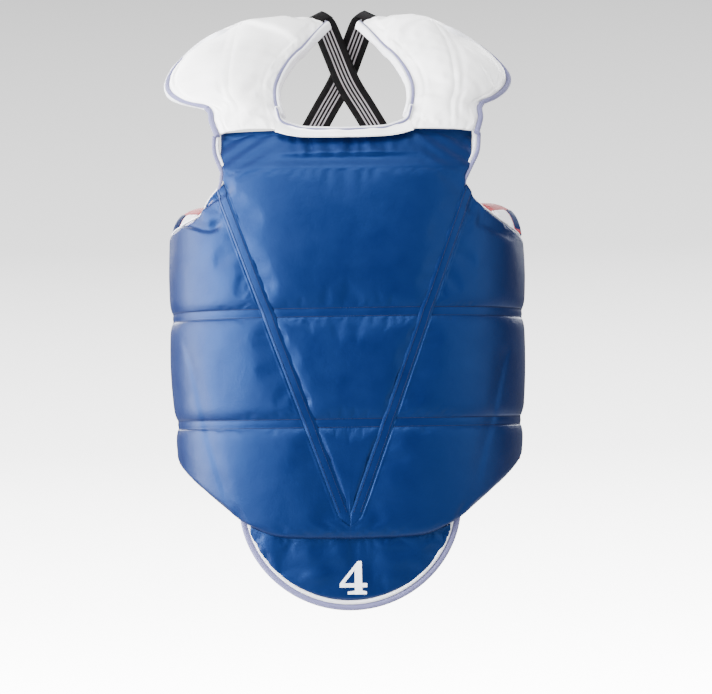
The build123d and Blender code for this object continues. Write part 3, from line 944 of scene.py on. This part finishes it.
def centre_panel():
    counts, x, z = centre_grid(centre_half)
    angle = front_angle(x, z)
    base = wall(angle, z)
    left, right, _, _ = border_runs(base)
    wide = smooth_step(z, 0.385, 0.410)
    reach = np.minimum(0.0020 + 0.0018 * wide, 0.8 * v_inner(z) + 0.0003)
    extra = top_strip_depth(x, z) + V_DIP * (1 - wide) * np.exp(-(np.minimum(left, right) / 0.0045) ** 2)
    depth = pillow_depth(z, [(left, reach), (right, reach)], SEAM_OUT, extra)
    cover = wall(angle, z, depth)
    seams = np.abs(z - CHANNELS[0]) < VALLEY_HALF * 1.1
    seams |= np.abs(z - CHANNELS[1]) < VALLEY_HALF * 1.1
    seams |= z > FOAM_EDGE - 0.014
    seams[:, :2] = True
    seams[:, -2:] = True
    seams[:3] = True
    normal = wall_normal(angle, z)
    uneven = 1 - np.exp(-(np.minimum(left, right) / 0.012) ** 2)
    swollen = puffed(cover, seams, 0.9, 0.004, 0.0016)
    swollen = swollen + normal * (0.0004 * uneven * ripple(base, 0.10, 21))[..., None]
    outer, fine_normal = finer(swollen), finer(normal)
    for side, sign in SIDES.items():
        outer = folded(outer, fine_normal, SIDE_CREASES[side][2:], sign)
    piece = pillow("centre_cover", outer, finer(wall(angle, z, SEAM_OUT)))
    done(piece, "blue")
    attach(piece, "chest")
    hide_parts("chest_cover_centre", "foam_centre_lower", "foam_centre_middle", "foam_centre_upper")
    channel_stitches("centre", "outer", outer, finer(normal), counts, "blue_thread")

    counts, x, z = centre_grid(lambda z, side: np.minimum(v_outer(z) - 0.0002, blue_limit(z, side)),
                                LOWER_Z[0])
    angle = front_angle(x, z)
    base = wall(angle, z)
    left, right, bottom, _ = border_runs(base)
    reach = np.minimum(0.007, 0.6 * v_outer(z))
    fall = PAD - SEAM_IN
    free = smooth_step(z, 0.372, 0.392)
    depth = np.maximum(pillow_depth(z, [], fall, sewn=[(left, reach), (right, reach)]),
                       free * rolled([(left, reach), (right, reach)], fall))
    depth = np.maximum(depth, rolled([(bottom, 0.009)], fall))
    reverse = wall(angle, z, PAD - depth)
    uneven = 1 - np.exp(-(np.minimum(left, right) / 0.012) ** 2)
    reverse = reverse + wall_normal(angle, z) * (0.0004 * uneven * ripple(base, 0.08, 27))[..., None]
    inner = finer(reverse)
    piece = pillow("centre_reverse", inner, finer(wall(angle, z, SEAM_IN)), flip=True)
    done(piece, "red")
    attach(piece, "chest")
    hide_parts("chest_reverse_cover")
    channel_stitches("centre", "reverse", inner, -finer(wall_normal(angle, z)), counts, "red_thread")


V_BAND_DEPTH = 0.0013


def v_band(side):
    """The narrow band sewn down along one arm of the V, with its two stitch lines."""
    sign = SIDES[side]
    z = np.linspace(0.0195, 0.404, 124)[:, None]
    across = np.linspace(-0.0072, 0.0072, 13)[None, :]
    middle = V_SLOPE * (z - V_APEX) + V_WIDTH / 2

    def at(offset, sink=0.0):
        x = np.clip(middle + offset, 0.0, blue_limit(z, side) - 0.0010)
        dip = V_BAND_DEPTH + 0.0009 * (np.abs(offset) / 0.0072) ** 4 + 0 * z
        for c in CHANNELS:
            dip = dip + 0.0012 * np.exp(-((z - c) / 0.009) ** 2)
        for points, depth, width in SIDE_CREASES[side][2:]:
            dip = dip + crease(points, x, z + 0 * x, depth * MM * 0.7, width * MM)
        dip = dip + 0.005 * smooth_step(z, 0.384, 0.402)
        return wall(front_angle(x, z), z + 0 * x, dip + sink), wall_normal(front_angle(x, z), z + 0 * x)

    top, _ = at(across)
    under, _ = at(across, 0.002)
    band = pillow(f"v_band_{side}", mirrored(top, sign), mirrored(under, sign), flip=sign < 0)
    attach(done(band, "blue"), "chest")
    rows = []
    for offset in (-0.0037, 0.0037):
        place, normal = at(np.array([[offset]]))
        rows.append(stitches("row", mirrored(place[6:-3, 0], sign), mirrored(normal[6:-3, 0], sign)))
    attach(done(joined(rows, f"v_stitches_{side}"), "blue_thread"), "chest")


# ---- edges of the trunk ---------------------------------------------------------
def rounded_bar(half_across, half_out, power=4, count=20):
    turn = np.arange(count) * 2 * math.pi / count
    c, s = np.cos(turn), np.sin(turn)
    return np.stack([half_across * np.sign(c) * np.abs(c) ** (2 / power),
                     half_out * np.sign(s) * np.abs(s) ** (2 / power)], 1)


# Heights between which the armhole's binding grows to its full thickness and its cord comes out.
BINDING_SHOWN = 0.378, 0.404


def armhole_edge(side):
    """White binding and lilac cord beside the blue cover; the cord is partly piping and partly painted shade
    on the binding's outer side. Low down the binding thins and the cord sinks in.
    """
    sign = SIDES[side]
    z = np.linspace(ARMHOLE_SEEN[side][0][1] * MM + 0.001, 0.4485, 70)
    shown = smooth_step(z, *BINDING_SHOWN)
    angle = front_angle(blue_limit(z, side), z)
    middle = wall(angle, z, PAD / 2)
    normal = wall_normal(angle, z)
    tangent = unit(np.gradient(middle, axis=0))
    away = unit(np.cross(tangent, normal))
    white = middle + away * 0.0006 + normal * 0.0062
    lilac = middle + away * (-0.0030 + 0.0070 * shown)[:, None] + normal * (0.0040 + 0.0036 * shown)[:, None]
    strip_piece = sweep(f"armhole_binding_{side}", mirrored(white, sign), mirrored(normal, sign),
                        rounded_bar(0.0017, 0.0016), 0.45 + 0.55 * shown)
    done(strip_piece, "white_tape")
    bend_side(strip_piece)
    # The lilac cord is partly piping and partly painted shade along the binding's outer side.
    cord = sweep(f"armhole_piping_and_shade_cord_{side}", mirrored(lilac, sign), mirrored(normal, sign),
                 oval(0.0023, 0.0026))
    done(cord, "lilac")
    bend_side(cord)
    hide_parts(f"armhole_piping_{side}")


# The stretch of the wing's front edge that has a white and a blue bar: angle it ends at, height it starts at.
FRONT_BAR_END, FRONT_BAR_FOOT = 109, 0.3455


def wing_edge(side):
    sign = SIDES[side]
    outline_points = np.array([(94.6, 346.5), (98.5, 357.5), (104, 370), (110, 380), (117, 387), (127, 389.5),
                               (137, 389.5), (146, 389), (151.3, 385.5), (154.0, 377), (154.4, 340),
                               (154.4, 240), (154.4, 140), (154.0, 105), (151.3, 96.2), (146, 92.5),
                               (137, 92), (117, 92), (99, 91.5), (94.0, 90)])
    turns = even(catmull(outline_points * np.array([3.3, 1.0]), 8), count=170) / np.array([3.3, 1.0])
    angle, z = turns[:, 0], turns[:, 1] * MM
    middle = wall(angle, z, PAD / 2)
    normal = wall_normal(angle, z)
    tangent = unit(np.gradient(middle, axis=0))
    inward = unit(np.cross(tangent, normal))
    wing_middle = wall(np.array(125.0), np.array(0.24))
    inward = inward * np.sign(np.sum(inward * (wing_middle - middle), -1, keepdims=True))
    place = mirrored(middle + inward * 0.0016, sign)
    piece = sweep(f"wing_edge_binding_{side}", place, mirrored(normal, sign),
                  rounded_bar(0.0030, 0.0104, 5, 28))
    done(piece, "red_tape")
    bend_side(piece)
    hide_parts(f"wing_binding_{side}")
    front = (turns[:, 0] < FRONT_BAR_END) & (z > FRONT_BAR_FOOT)
    for part, shift, half, slot, look in (("white", -0.0034, 0.0076, "white_binding", "white_tape"),
                                          ("blue", 0.0074, 0.0036, "blue_cover", "blue")):
        path = middle + inward * 0.0016 + normal * shift
        ends = np.linspace(0, 1, front.sum())
        share = 0.3 + 0.7 * smooth_step(ends, 0, 0.2) * (1 - smooth_step(ends, 0.9, 1))
        bar = sweep(f"wing_front_{part}_{side}", mirrored(path[front], sign), mirrored(normal[front], sign),
                    rounded_bar(0.0036, half, 5, 28), share)
        done(bar, look)
        bend_side(bar)
    rows = []
    for out in (0.0101, -0.0101):
        line = mirrored(middle + inward * 0.0026 + normal * out, sign)
        rows.append(stitches("row", line, mirrored(normal * np.sign(out), sign)))
    stitch = done(joined(rows, f"wing_edge_stitches_{side}"), "red_thread")
    bend_side(stitch)


# The neckband's lower and upper edges from the middle to one end, in millimetres.
BAND_LOW = [(0, -129.4, 443), (20, -129.2, 443), (43, -128.4, 443.8), (57, -126.8, 445.5), (67, -124.6, 448),
            (76, -122.3, 450.6)]
BAND_HIGH = [(0, -124.8, 449.8), (20, -124.0, 450.3), (42, -120.6, 451.8), (53, -117.2, 454.5),
             (63, -113.2, 459.5), (70, -109.2, 466)]


def both_ways(points):
    points = np.array(points, float) * MM
    return np.concatenate([(points * np.array([-1, 1, 1]))[:0:-1], points])


def neckband():
    """White band folded over the chest's top edge between the shoulder pads."""
    low, high = [catmull(both_ways(side), 6)[:, None] for side in (BAND_LOW, BAND_HIGH)]
    reach = np.abs(low[..., :1]) / 0.076
    behind = high * np.array([1, 1, 1]) + np.array([0, 0.013, -0.001])
    hem = low + np.array([0, 0.019, 0.003])
    t = np.linspace(0, 1, 9)[None, :, None]
    up = low + (high - low) * t
    up = up + np.array([0, -0.0012, 0]) * (4 * t * (1 - t)) * (1 - 0.5 * reach)
    over = np.pi * t[:, 1:-1]
    top = (high + behind) / 2 + (high - behind) / 2 * np.cos(over) + np.array([0, 0, 0.0045]) * np.sin(over)
    down = behind + (hem - behind) * t
    outer = np.concatenate([up, top, down], 1)
    core = (low + high + behind + hem) / 4
    outer = outer + unit(outer - core) * (0.0004 * ripple(outer, 0.022, 31))[..., None]
    outer[:, 0] = outer[:, 0] + unit(core - outer[:, :1])[:, 0] * 0.0008
    inner = outer + unit(core - outer) * 0.0014
    piece = recalculated(pillow("neckband_cover", finer(outer), finer(inner)))
    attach(done(piece, "white"), "chest")
    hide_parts("neckband")
    line = outer[6:-6, 1] + np.array([0, -0.0003, 0.0004])
    stitch = stitches("neckband_stitches", line, np.array([0.0, -1.0, 0.3]))
    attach(done(stitch, "white_thread"), "chest")
    rim = catmull(both_ways(BAND_HIGH + [(72.5, -105.5, 474), (74.0, -101.5, 480)]), 6)
    rim = rim + np.array([0, 0.004, 0.003]) * (1 - smooth_step(np.abs(rim[:, :1]), 0.055, 0.072))
    back = unit(np.array([0.0, -0.75, 0.65]))
    lip = sweep("neckband_lip", rim + np.array([0, 0.0015, 0.0005]), np.broadcast_to(back, rim.shape),
                oval(0.0026, 0.0024))
    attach(done(lip, "white_tape"), "chest")
    # The lilac cord under the lip is partly piping and partly painted shade along the band's top edge.
    cord = sweep("neckband_cord", rim + np.array([0, -0.0022, -0.0005]), np.broadcast_to(back, rim.shape),
                 oval(0.0012, 0.0013))
    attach(done(cord, "lilac"), "chest")


# ---- shoulders and caps ------------------------------------------------------------
# Rows of the white pads: neck edge, outer edge, bulge, share of the crease, half thickness (mm).
SHOULDER_ROWS = [((-66.5, -121, 449.5), (-137, -108, 448), 6, 0.62, 7.0),
                 ((-71.5, -109, 468), (-143.5, -98, 465), 9, 0.58, 8.0),
                 ((-76, -94, 487), (-149, -84.5, 482.5), 13, 0.54, 8.5),
                 ((-77.5, -83, 500), (-181, -58, 496.5), 16, 0.44, 8.5),
                 ((-76.5, -70, 513), (-196, -36, 510), 18, 0.39, 8.5),
                 ((-71.5, -55, 528), (-199, -15, 527.5), 20, 0.40, 8.5),
                 ((-62.5, -36, 544), (-187.5, 6, 550), 21, 0.50, 8.5),
                 ((-53.5, -19, 556), (-158, 13, 576), 20, 0.67, 8.5),
                 ((-46, -7, 564), (-134, 8, 587), 19, 0.82, 8.5),
                 ((-35.5, 13, 578), (-98, 25, 596.5), 15, 0.88, 8.0),
                 ((-24, 32, 593), (-70, 45, 599.5), 9, 0.88, 7.5),
                 ((-19, 45, 599), (-51, 56.5, 597.5), 4, 0.88, 6.5)]
CREASE_GAP = 0.009
# How far each row's outer edge is drawn in on the right, where the cap is turned back (mm).
RIGHT_DRAWN_IN = (-5.5, -4, 0, 12, 15, 14, 17, 20, 19, 13, 6, 0)


def shoulder_surface(side, parts=5, columns=45):
    """Base surface, outward directions and half thickness of a shoulder pad and its cap, drawn on +X."""
    table = [np.array([np.atleast_1d(row[k]) for row in SHOULDER_ROWS], float) for k in range(5)]
    if side == "right":
        table[1][:, 0] += RIGHT_DRAWN_IN
    neck, outer, bulge, share, half = [catmull(part, parts) for part in table]
    neck, outer = [p * MM * np.array([-1, 1, 1]) for p in (neck, outer)]
    bulge, half = bulge[:, 0] * MM, half[:, 0] * MM
    u = eased(columns)[None, :]
    t = np.where(u < 0.5, share * u / 0.5, share + (1 - share) * (u - 0.5) / 0.5)
    middle = (neck + outer) / 2
    core = np.stack([middle[:, 0] * 0.93, np.full(len(middle), -0.020), np.full(len(middle), 0.492)], 1)
    chord = outer - neck
    outward = middle - core
    outward = unit(outward - unit(chord) * np.sum(outward * unit(chord), -1, keepdims=True))
    rise = bulge[:, None] * (1 - np.abs(2 * t - 1) ** 2.3)
    base = neck[:, None] + chord[:, None] * t[..., None] + outward[:, None] * rise[..., None]
    arch = np.clip(1 - np.arange(len(neck))[:, None] / (1.2 * parts), 0, 1) ** 2
    base[..., 2] += (0.007 if side == "left" else 0.004) * arch * 4 * t * (1 - t)
    run = (t - share) * np.linalg.norm(chord, axis=-1)[:, None]
    return base, np.broadcast_to(outward[:, None], base.shape), half, run


def shoulder(side):
    sign = SIDES[side]
    base, outward, half, run = shoulder_surface(side)
    rows, cols = base.shape[:2]
    left, right, bottom, top = border_runs(base)
    edges = [(left, 0.009), (right, 0.009), (bottom, 0.006), (top, 0.010)]
    roll = rolled(edges, 1.0) * half[:, None]
    level = np.linspace(0, 1, rows)[:, None]
    strong = 1.0 if side == "right" else 0.45
    fold = smooth_step(level, 0.02, 0.14) * (1 - smooth_step(level, 0.55, 0.70))
    dip = sum(0.0017 * strong * np.exp(-((run - at) / 0.0026) ** 2) for at in (0.0, CREASE_GAP)) * fold
    edge_sewn = 0.0011 * np.exp(-((np.minimum(left, right) - 0.0125) / 0.0022) ** 2)
    uneven = np.minimum(roll * 0 + 1, min_of([left, right, bottom, top]) / 0.02)
    lumps = 0.0011 * uneven * ripple(base, 0.055, 41 + sign)
    lumps = lumps + 0.0005 * uneven * ripple(base, 0.021, 51 + sign)
    inward = -outward
    front = base + inward * (roll + dip + edge_sewn - lumps)[..., None]
    back = base + inward * (2 * half[:, None] - roll - 0.4 * edge_sewn)[..., None]
    seams = np.zeros((rows, cols), bool)
    seams[:3] = seams[-3:] = True
    seams[:, :3] = seams[:, -3:] = True
    front = puffed(front, seams, 1.2, 0.014, 0.0018)
    front, back = finer(mirrored(front, sign)), finer(mirrored(back, sign))
    quads = np.zeros((front.shape[0] - 1, front.shape[1] - 1), bool)
    start_row, start_col = 2 * SPLIT_ROW, 2 * (cols // 2)
    quads[start_row:, start_col:] = True
    flip = sign > 0
    pad = pillow(f"shoulder_pad_{side}", front, back, mask=~quads, flip=flip)
    done(pad, "white")
    bend_shoulder(pad)
    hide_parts(f"shoulder_cover_{side}", f"shoulder_foam_{side}", f"shoulder_reverse_cover_{side}")
    cap = pillow(f"cap_pad_{side}", front, back, mask=quads, flip=flip)
    done(cap, "white")
    bend_cap(cap)
    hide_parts(f"cap_cover_{side}", f"cap_foam_{side}", f"cap_reverse_cover_{side}")
    shoulder_trim(side, mirrored(base, sign), mirrored(outward, sign), half)


SPLIT_ROW = 8                   # the cap's piece starts above this row, where the chest no longer pulls
CORNER_ROW = 10                 # the armhole's corner, where the cap's edge begins


CAP_CORD = {"left": (0.0010, 0.0048), "right": (0.0024, 0.0042)}


def edge_path(base, outward, half, at_start):
    """Middle of a pad's edge, the direction away from the pad, and outward."""
    edge, beside = (base[:, 0], base[:, 1]) if at_start else (base[:, -1], base[:, -2])
    away = unit(edge - beside)
    away = unit(away - outward[:, 0] * np.sum(away * outward[:, 0], -1, keepdims=True))
    return edge - outward[:, 0] * half[:, None], away, outward[:, 0]


def trim(name, edge, rows, away_by, out_by, section, slot, look, taper=0.0):
    middle, away, out = [part[rows] for part in edge]
    path = middle + away * away_by + out * out_by
    fine = catmull(path, 3)
    normals = unit(catmull(out, 3))
    share = 1 - 0.85 * smooth_step(np.linspace(0, 1, len(fine)), 1 - taper, 1.0 + 1e-6)
    return done(sweep(name, fine, normals, section, share), look)


def shoulder_trim(side, base, outward, half):
    neck = edge_path(base, outward, half, True)
    outer = edge_path(base, outward, half, False)
    above, upper = slice(5, None), slice(CORNER_ROW, None)
    low = slice(0, CORNER_ROW + 1)
    lip = rounded_bar(0.0027, 0.0050, 3)
    # The lilac cords at the neck, shoulder and cap edges are partly piping and partly painted shade in the
    # groove between the pad and the white lip.
    cord = oval(0.0022, 0.0024)
    pieces = [
        trim(f"neck_lip_{side}", neck, above, 0.0030, 0.0005, lip, "white_binding", "white_tape"),
        trim(f"neck_cord_{side}", neck, above, 0.0003, 0.0052, cord, "piping", "lilac"),
        trim(f"shoulder_edge_cord_{side}", outer, low, 0.0030, 0.0030, oval(0.0032, 0.0034),
             "piping", "lilac")]
    for piece in pieces:
        bend_shoulder(piece)
    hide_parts(f"neck_piping_{side}")
    pieces = [trim(f"cap_lip_{side}", outer, upper, 0.0034, -0.0004, lip, "white_binding", "white_tape"),
              trim(f"cap_cord_{side}", outer, slice(CORNER_ROW, 34), *CAP_CORD[side], oval(0.0029, 0.0031),
                   "piping", "lilac", taper=0.3)]
    for piece in pieces:
        bend_cap(piece)
    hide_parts(f"cap_piping_{side}")


# ---- groin flap -----------------------------------------------------------------------
FLAP_HALF_WIDTH, FLAP_DROP, FLAP_CENTRE = 0.1225, 0.115, 0.045
FLAP_NEAR, FLAP_THICK, FLAP_HEM = 0.008, 0.012, 0.0090


def flap_outline(turn, inset):
    return -(FLAP_HALF_WIDTH - inset) * np.cos(turn), FLAP_CENTRE - (FLAP_DROP - inset) * np.sin(turn)


def flap():
    turn = np.radians(np.linspace(15, 165, 91))
    x, z_low = flap_outline(turn, FLAP_HEM)
    z_top = np.interp(np.abs(x), LOWER_X, LOWER_Z) + 0.004
    share = np.linspace(0, 1, 31)[:, None] ** 1.15
    z = z_low + (z_top - z_low) * share
    x = x[None, :] + 0 * z
    angle = angle_seen(x, z, FLAP_NEAR + FLAP_THICK / 2)
    base = wall(angle, z)
    left, right, bottom, _ = border_runs(base)
    half = FLAP_THICK / 2
    roll = rolled([(bottom, 0.008), (left, 0.006), (right, 0.006)], half)
    folds = 0.0016 * np.exp(-((x + 0.082) / 0.012) ** 2) * smooth_step(z, -0.03, 0.01)
    folds = folds + 0.0009 * ripple(base * np.array([1, 1, 2.2]), 0.06, 61) * np.minimum(bottom / 0.02, 1)
    front = wall(angle, z, FLAP_NEAR + roll - folds * (1 - roll / half))
    back = wall(angle, z, FLAP_NEAR + FLAP_THICK - roll)
    core = wall(angle, z, FLAP_NEAR + half)
    seams = np.zeros(z.shape, bool)
    seams[:3] = seams[-2:] = True
    seams |= np.minimum(left, right) < 0.014
    front = finer(puffed(front, seams, 0.9, 0.006, 0.0016))
    cover = pillow("flap_pad", front, finer(core + (base - core) * 0.012))
    done(cover, "blue")
    bend_flap(cover)
    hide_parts("flap_cover", "flap_foam")
    reverse = pillow("flap_reverse", finer(back), finer(core - (base - core) * 0.012), flip=True)
    done(reverse, "red")
    bend_flap(reverse)
    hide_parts("flap_reverse_cover")
    flap_trim()
    numeral()


def flap_point(x, z, depth):
    angle = angle_seen(x, z, FLAP_NEAR + FLAP_THICK / 2)
    return wall(angle, z, depth), wall_normal(angle, z)


def flap_trim():
    def run(inset, depth, start=7):
        x, z = flap_outline(np.radians(np.linspace(start, 180 - start, 150)), inset)
        line = even(np.stack([x, z], 1), count=170)
        return flap_point(line[:, 0], line[:, 1], depth)

    middle = FLAP_NEAR + FLAP_THICK / 2
    place, normal = run(0.0094, middle)
    band = sweep("flap_edge_binding", place, normal, rounded_bar(0.0026, 0.0060, 3))
    done(band, "white_tape")
    bend_flap(band)
    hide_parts("flap_binding")
    # The wide lilac cord is partly piping and partly painted shade for the white binding's rolled-under lower
    # side.
    place, normal = run(0.0038, middle - 0.0010)
    cord = sweep("flap_edge_cord", place, normal, oval(0.0040, 0.0048))
    bend_flap(done(cord, "lilac"))
    place, normal = run(0.0128, FLAP_NEAR + 0.0016, 17)
    line = stitches("flap_stitches", place[8:-8], normal[8:-8])
    bend_flap(done(line, "blue_thread"))


# Outline of a plain serif numeral, in millimetres from its lower left.
NUMERAL = [(8.5, 0), (29, 0), (29, 3), (24.5, 3.8), (24.0, 7.6), (29.5, 7.6), (29.5, 12.0), (24.0, 12.0),
           (24.0, 36), (19.8, 36), (0, 11.8), (0, 7.6), (16.2, 7.6), (16.2, 3.8), (8.5, 3)]
NUMERAL_HOLE = [(4.8, 12.0), (16.2, 12.0), (16.2, 26.2)]
NUMERAL_CORNER = (-0.0125, -0.0520)


def numeral():
    """The size numeral, printed white on the flap, raised a little over the cover."""
    mesh = bmesh.new()
    for loop in (NUMERAL, NUMERAL_HOLE):
        verts = [mesh.verts.new((x, y, 0)) for x, y in loop]
        for a, b in zip(verts, verts[1:] + verts[:1]):
            mesh.edges.new((a, b))
    bmesh.ops.triangle_fill(mesh, edges=mesh.edges, use_beauty=True)
    for _ in range(3):
        longest = [e for e in mesh.edges if e.calc_length() > 2.2]
        bmesh.ops.subdivide_edges(mesh, edges=longest, cuts=1)
        bmesh.ops.triangulate(mesh, faces=mesh.faces)
    data = bpy.data.meshes.new("size_numeral")
    mesh.to_mesh(data)
    mesh.free()
    obj = bpy.data.objects.new("size_numeral", data)
    bpy.context.scene.collection.objects.link(obj)
    surface = bpy.data.objects["flap_pad"]
    tree = surface_tree(surface)
    for v in data.vertices:
        x = NUMERAL_CORNER[0] + v.co.x * MM
        z = NUMERAL_CORNER[1] + v.co.y * MM
        hit = tree.ray_cast(Vector((x, -0.3, z)), Vector((0, 1, 0)))[0]
        v.co = hit + Vector((0, -0.0003, 0))
    solid = obj.modifiers.new("Solid", "SOLIDIFY")
    solid.thickness = 0.0004
    solid.offset = 0
    bend_flap(done(obj, "print"))


def surface_tree(obj):
    from mathutils.bvhtree import BVHTree
    mesh = bmesh.new()
    mesh.from_mesh(obj.data)
    tree = BVHTree.FromBMesh(mesh)
    mesh.free()
    return tree


# Heights and angles of the front edge of the reverse side's loop patch.
REVERSE_PATCH = ((0.290, 0.3180, 0.3425, 0.3527, 0.3648, 0.3744, 0.3811, 0.3835),
                 (95.2, 95.2, 96.2, 99.6, 104.9, 110.7, 117.3, 127))


# ---- patches, straps and tabs ------------------------------------------------------------
def patch(name, side, low, high, first, last, depth, thick, node):
    """Loop patch sewn on the wing: first and last give the angle of its edges at each height."""
    sign = SIDES[side]
    u = np.linspace(-1, 1, 41)[None, :]
    v = np.linspace(-1, 1, 41)[:, None]
    outer_sign = 1 if depth < 0 else -1

    def at(u, v, depth):
        z = (low + high) / 2 + (high - low) / 2 * v
        start, end = np.interp(z, *first), np.interp(z, *last)
        rounding = 0.06 * np.clip((np.abs(v) - 0.88) / 0.12, 0, 1) ** 2
        angle = (start + end) / 2 + (end - start) / 2 * u * (1 - rounding)
        return wall(angle, z + 0 * u, depth), wall_normal(angle, z + 0 * u)

    edge = np.maximum(np.abs(u), np.abs(v))
    drop = thick * 0.8 * np.clip((edge - 0.93) / 0.07, 0, 1) ** 2
    face, _ = at(u, v, depth + outer_sign * drop)
    under, _ = at(u, v, depth + outer_sign * thick + 0 * drop)
    flip = (sign < 0) != (outer_sign < 0)
    piece = pillow(name, mirrored(face, sign), mirrored(under, sign), flip=flip)
    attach(done(piece, "loop"), f"wing_{side}")
    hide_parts(node)
    ring = even(np.array([(-1, -1), (1, -1), (1, 1), (-1, 1), (-1, -1)]) * 0.93, count=240)
    path, normal = at(ring[:, 0], ring[:, 1], depth - outer_sign * 0.0001)
    sewn = stitches(f"{name}_stitches", mirrored(path, sign), mirrored(outer_sign * normal, sign))
    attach(done(sewn, "white_thread"), f"wing_{side}")


STRAP_WIDTH, STRAP_THICK, STRAP_AIR, STRAP_STACK = 0.030, 0.0016, 0.0022, 0.0042
STRAP_FREE = [((-26.5, 60.3, 600.4), (0.0, 0.56, 0.83)), ((-22, 67, 596), (0.0, 0.62, 0.78)),
              ((-11, 85, 571), (0.0, 0.78, 0.62)),
              ((4, 103, 536), (0.05, 0.87, 0.49)), ((24, 118, 504), (0.10, 0.93, 0.35)),
              ((48, 129, 465), (0.14, 0.97, 0.20)), ((74, 135, 425), (0.18, 0.98, 0.08))]
CROSSING_LIFT = [0.1, 0.5, 0.9, 1.0, 0.9, 0.6, 0.2]
STRAP_ON_WING = [(144.0, 391), (138.0, 353), (133.0, 322)]
TAB_ON_WING = [(134.0, 329), (132.6, 319.5), (129.6, 300), (126.4, 280), (122.6, 256)]
TAB_OVER_STRAP = np.array([0.0021, 0.0019, 0, 0, 0])
STRAP_ANCHOR = [((-36, 50, 606), (0.0, 0.42, 0.91)), ((-30, 57, 604), (0.0, 0.50, 0.87)),
                ((-24, 64.5, 600.2), (0.0, 0.60, 0.80))]


def path_of(stations):
    place = np.array([p for p, _ in stations]) * MM
    normal = unit(np.array([n for _, n in stations], float))
    return place, normal


def fine_path(place, normal, parts=12):
    return catmull(place, parts), unit(catmull(normal, parts))


def box_stitch(name, place, normal, half_width, lift):
    """A square of stitches with a cross in it, between the ends of a path."""
    _, across, outward = frames_along(place, normal)
    place = place + outward * lift

    def side_line(share_from, share_to):
        share = np.linspace(share_from, share_to, len(place))[:, None]
        return place + across * half_width * share

    def end_line(i):
        return place[i] + across[i] * half_width * np.linspace(-1, 1, 12)[:, None]

    lines = [side_line(-1, -1), side_line(1, 1), side_line(-1, 1), side_line(1, -1)]
    lines = [*lines, end_line(0), end_line(-1)]
    rows = [stitches("row", line, np.broadcast_to(outward.mean(0), line.shape)) for line in lines]
    return joined(rows, name)


def strap(side):
    """Crossed elastic strap: it starts on its own shoulder and ends on the opposite wing."""
    sign = SIDES[side]
    lift = 0.0 if side == "left" else STRAP_STACK
    place, normal = path_of(STRAP_FREE)
    place = place + normal * (lift * np.array(CROSSING_LIFT))[:, None]
    angle, z = np.array(STRAP_ON_WING).T
    place = np.concatenate([place, wall(angle, z * MM, -STRAP_AIR)])
    normal = np.concatenate([normal, wall_normal(angle, z * MM)])
    place, normal = fine_path(place, normal)
    if side == "right":
        place, normal = mirrored(place, -1), mirrored(normal, -1)
    piece = sweep(f"strap_webbing_{side}", place, normal, strap_section(STRAP_WIDTH, STRAP_THICK))
    done(piece, "elastic")
    bend_strap(piece)
    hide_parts(f"strap_{side}")

    place, normal = path_of(STRAP_ANCHOR)
    place, normal = fine_path(mirrored(place, -sign), mirrored(normal, -sign), 8)
    end = sweep(f"strap_end_{side}", place, normal, strap_section(STRAP_WIDTH, STRAP_THICK))
    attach(done(end, "tab"), f"shoulder_{side}")
    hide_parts(f"strap_anchor_{side}")
    sewn = box_stitch(f"strap_end_stitches_{side}", place[2:-2], normal[2:-2], 0.011, STRAP_THICK)
    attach(done(sewn, "black_thread"), f"shoulder_{side}")

    angle, z = np.array(TAB_ON_WING).T
    place, normal = fine_path(wall(angle, z * MM, -STRAP_AIR - TAB_OVER_STRAP), wall_normal(angle, z * MM), 8)
    place, normal = mirrored(place, -sign), mirrored(normal, -sign)
    tab = sweep(f"tab_webbing_{side}", place, normal, strap_section(0.044, 0.002, 0.0006))
    bend_tab(done(tab, "tab"))
    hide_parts(f"hook_tab_{side}")
    sewn = box_stitch(f"tab_stitches_{side}", place[1:12], normal[1:12], 0.012, 0.002)
    bend_tab(done(sewn, "black_thread"))


# ---- build -------------------------------------------------------------------------
camera()
lights()
world()
centre_panel()
for name in SIDES:
    side_pads(name)
    v_band(name)
    armhole_edge(name)
    wing_edge(name)
    shoulder(name)
    strap(name)
    patch(f"loop_patch_{name}", name, 0.245, 0.345, *[((0, 1), (edge, edge)) for edge in (115.5, 138.5)],
          -0.0015, 0.0011, f"wing_loop_patch_{name}")
    patch(f"reverse_loop_patch_{name}", name, 0.290, 0.384, REVERSE_PATCH, ((0, 1), (146, 146)),
          PAD + 0.0019, 0.0011, f"wing_reverse_loop_patch_{name}")
neckband()
flap()
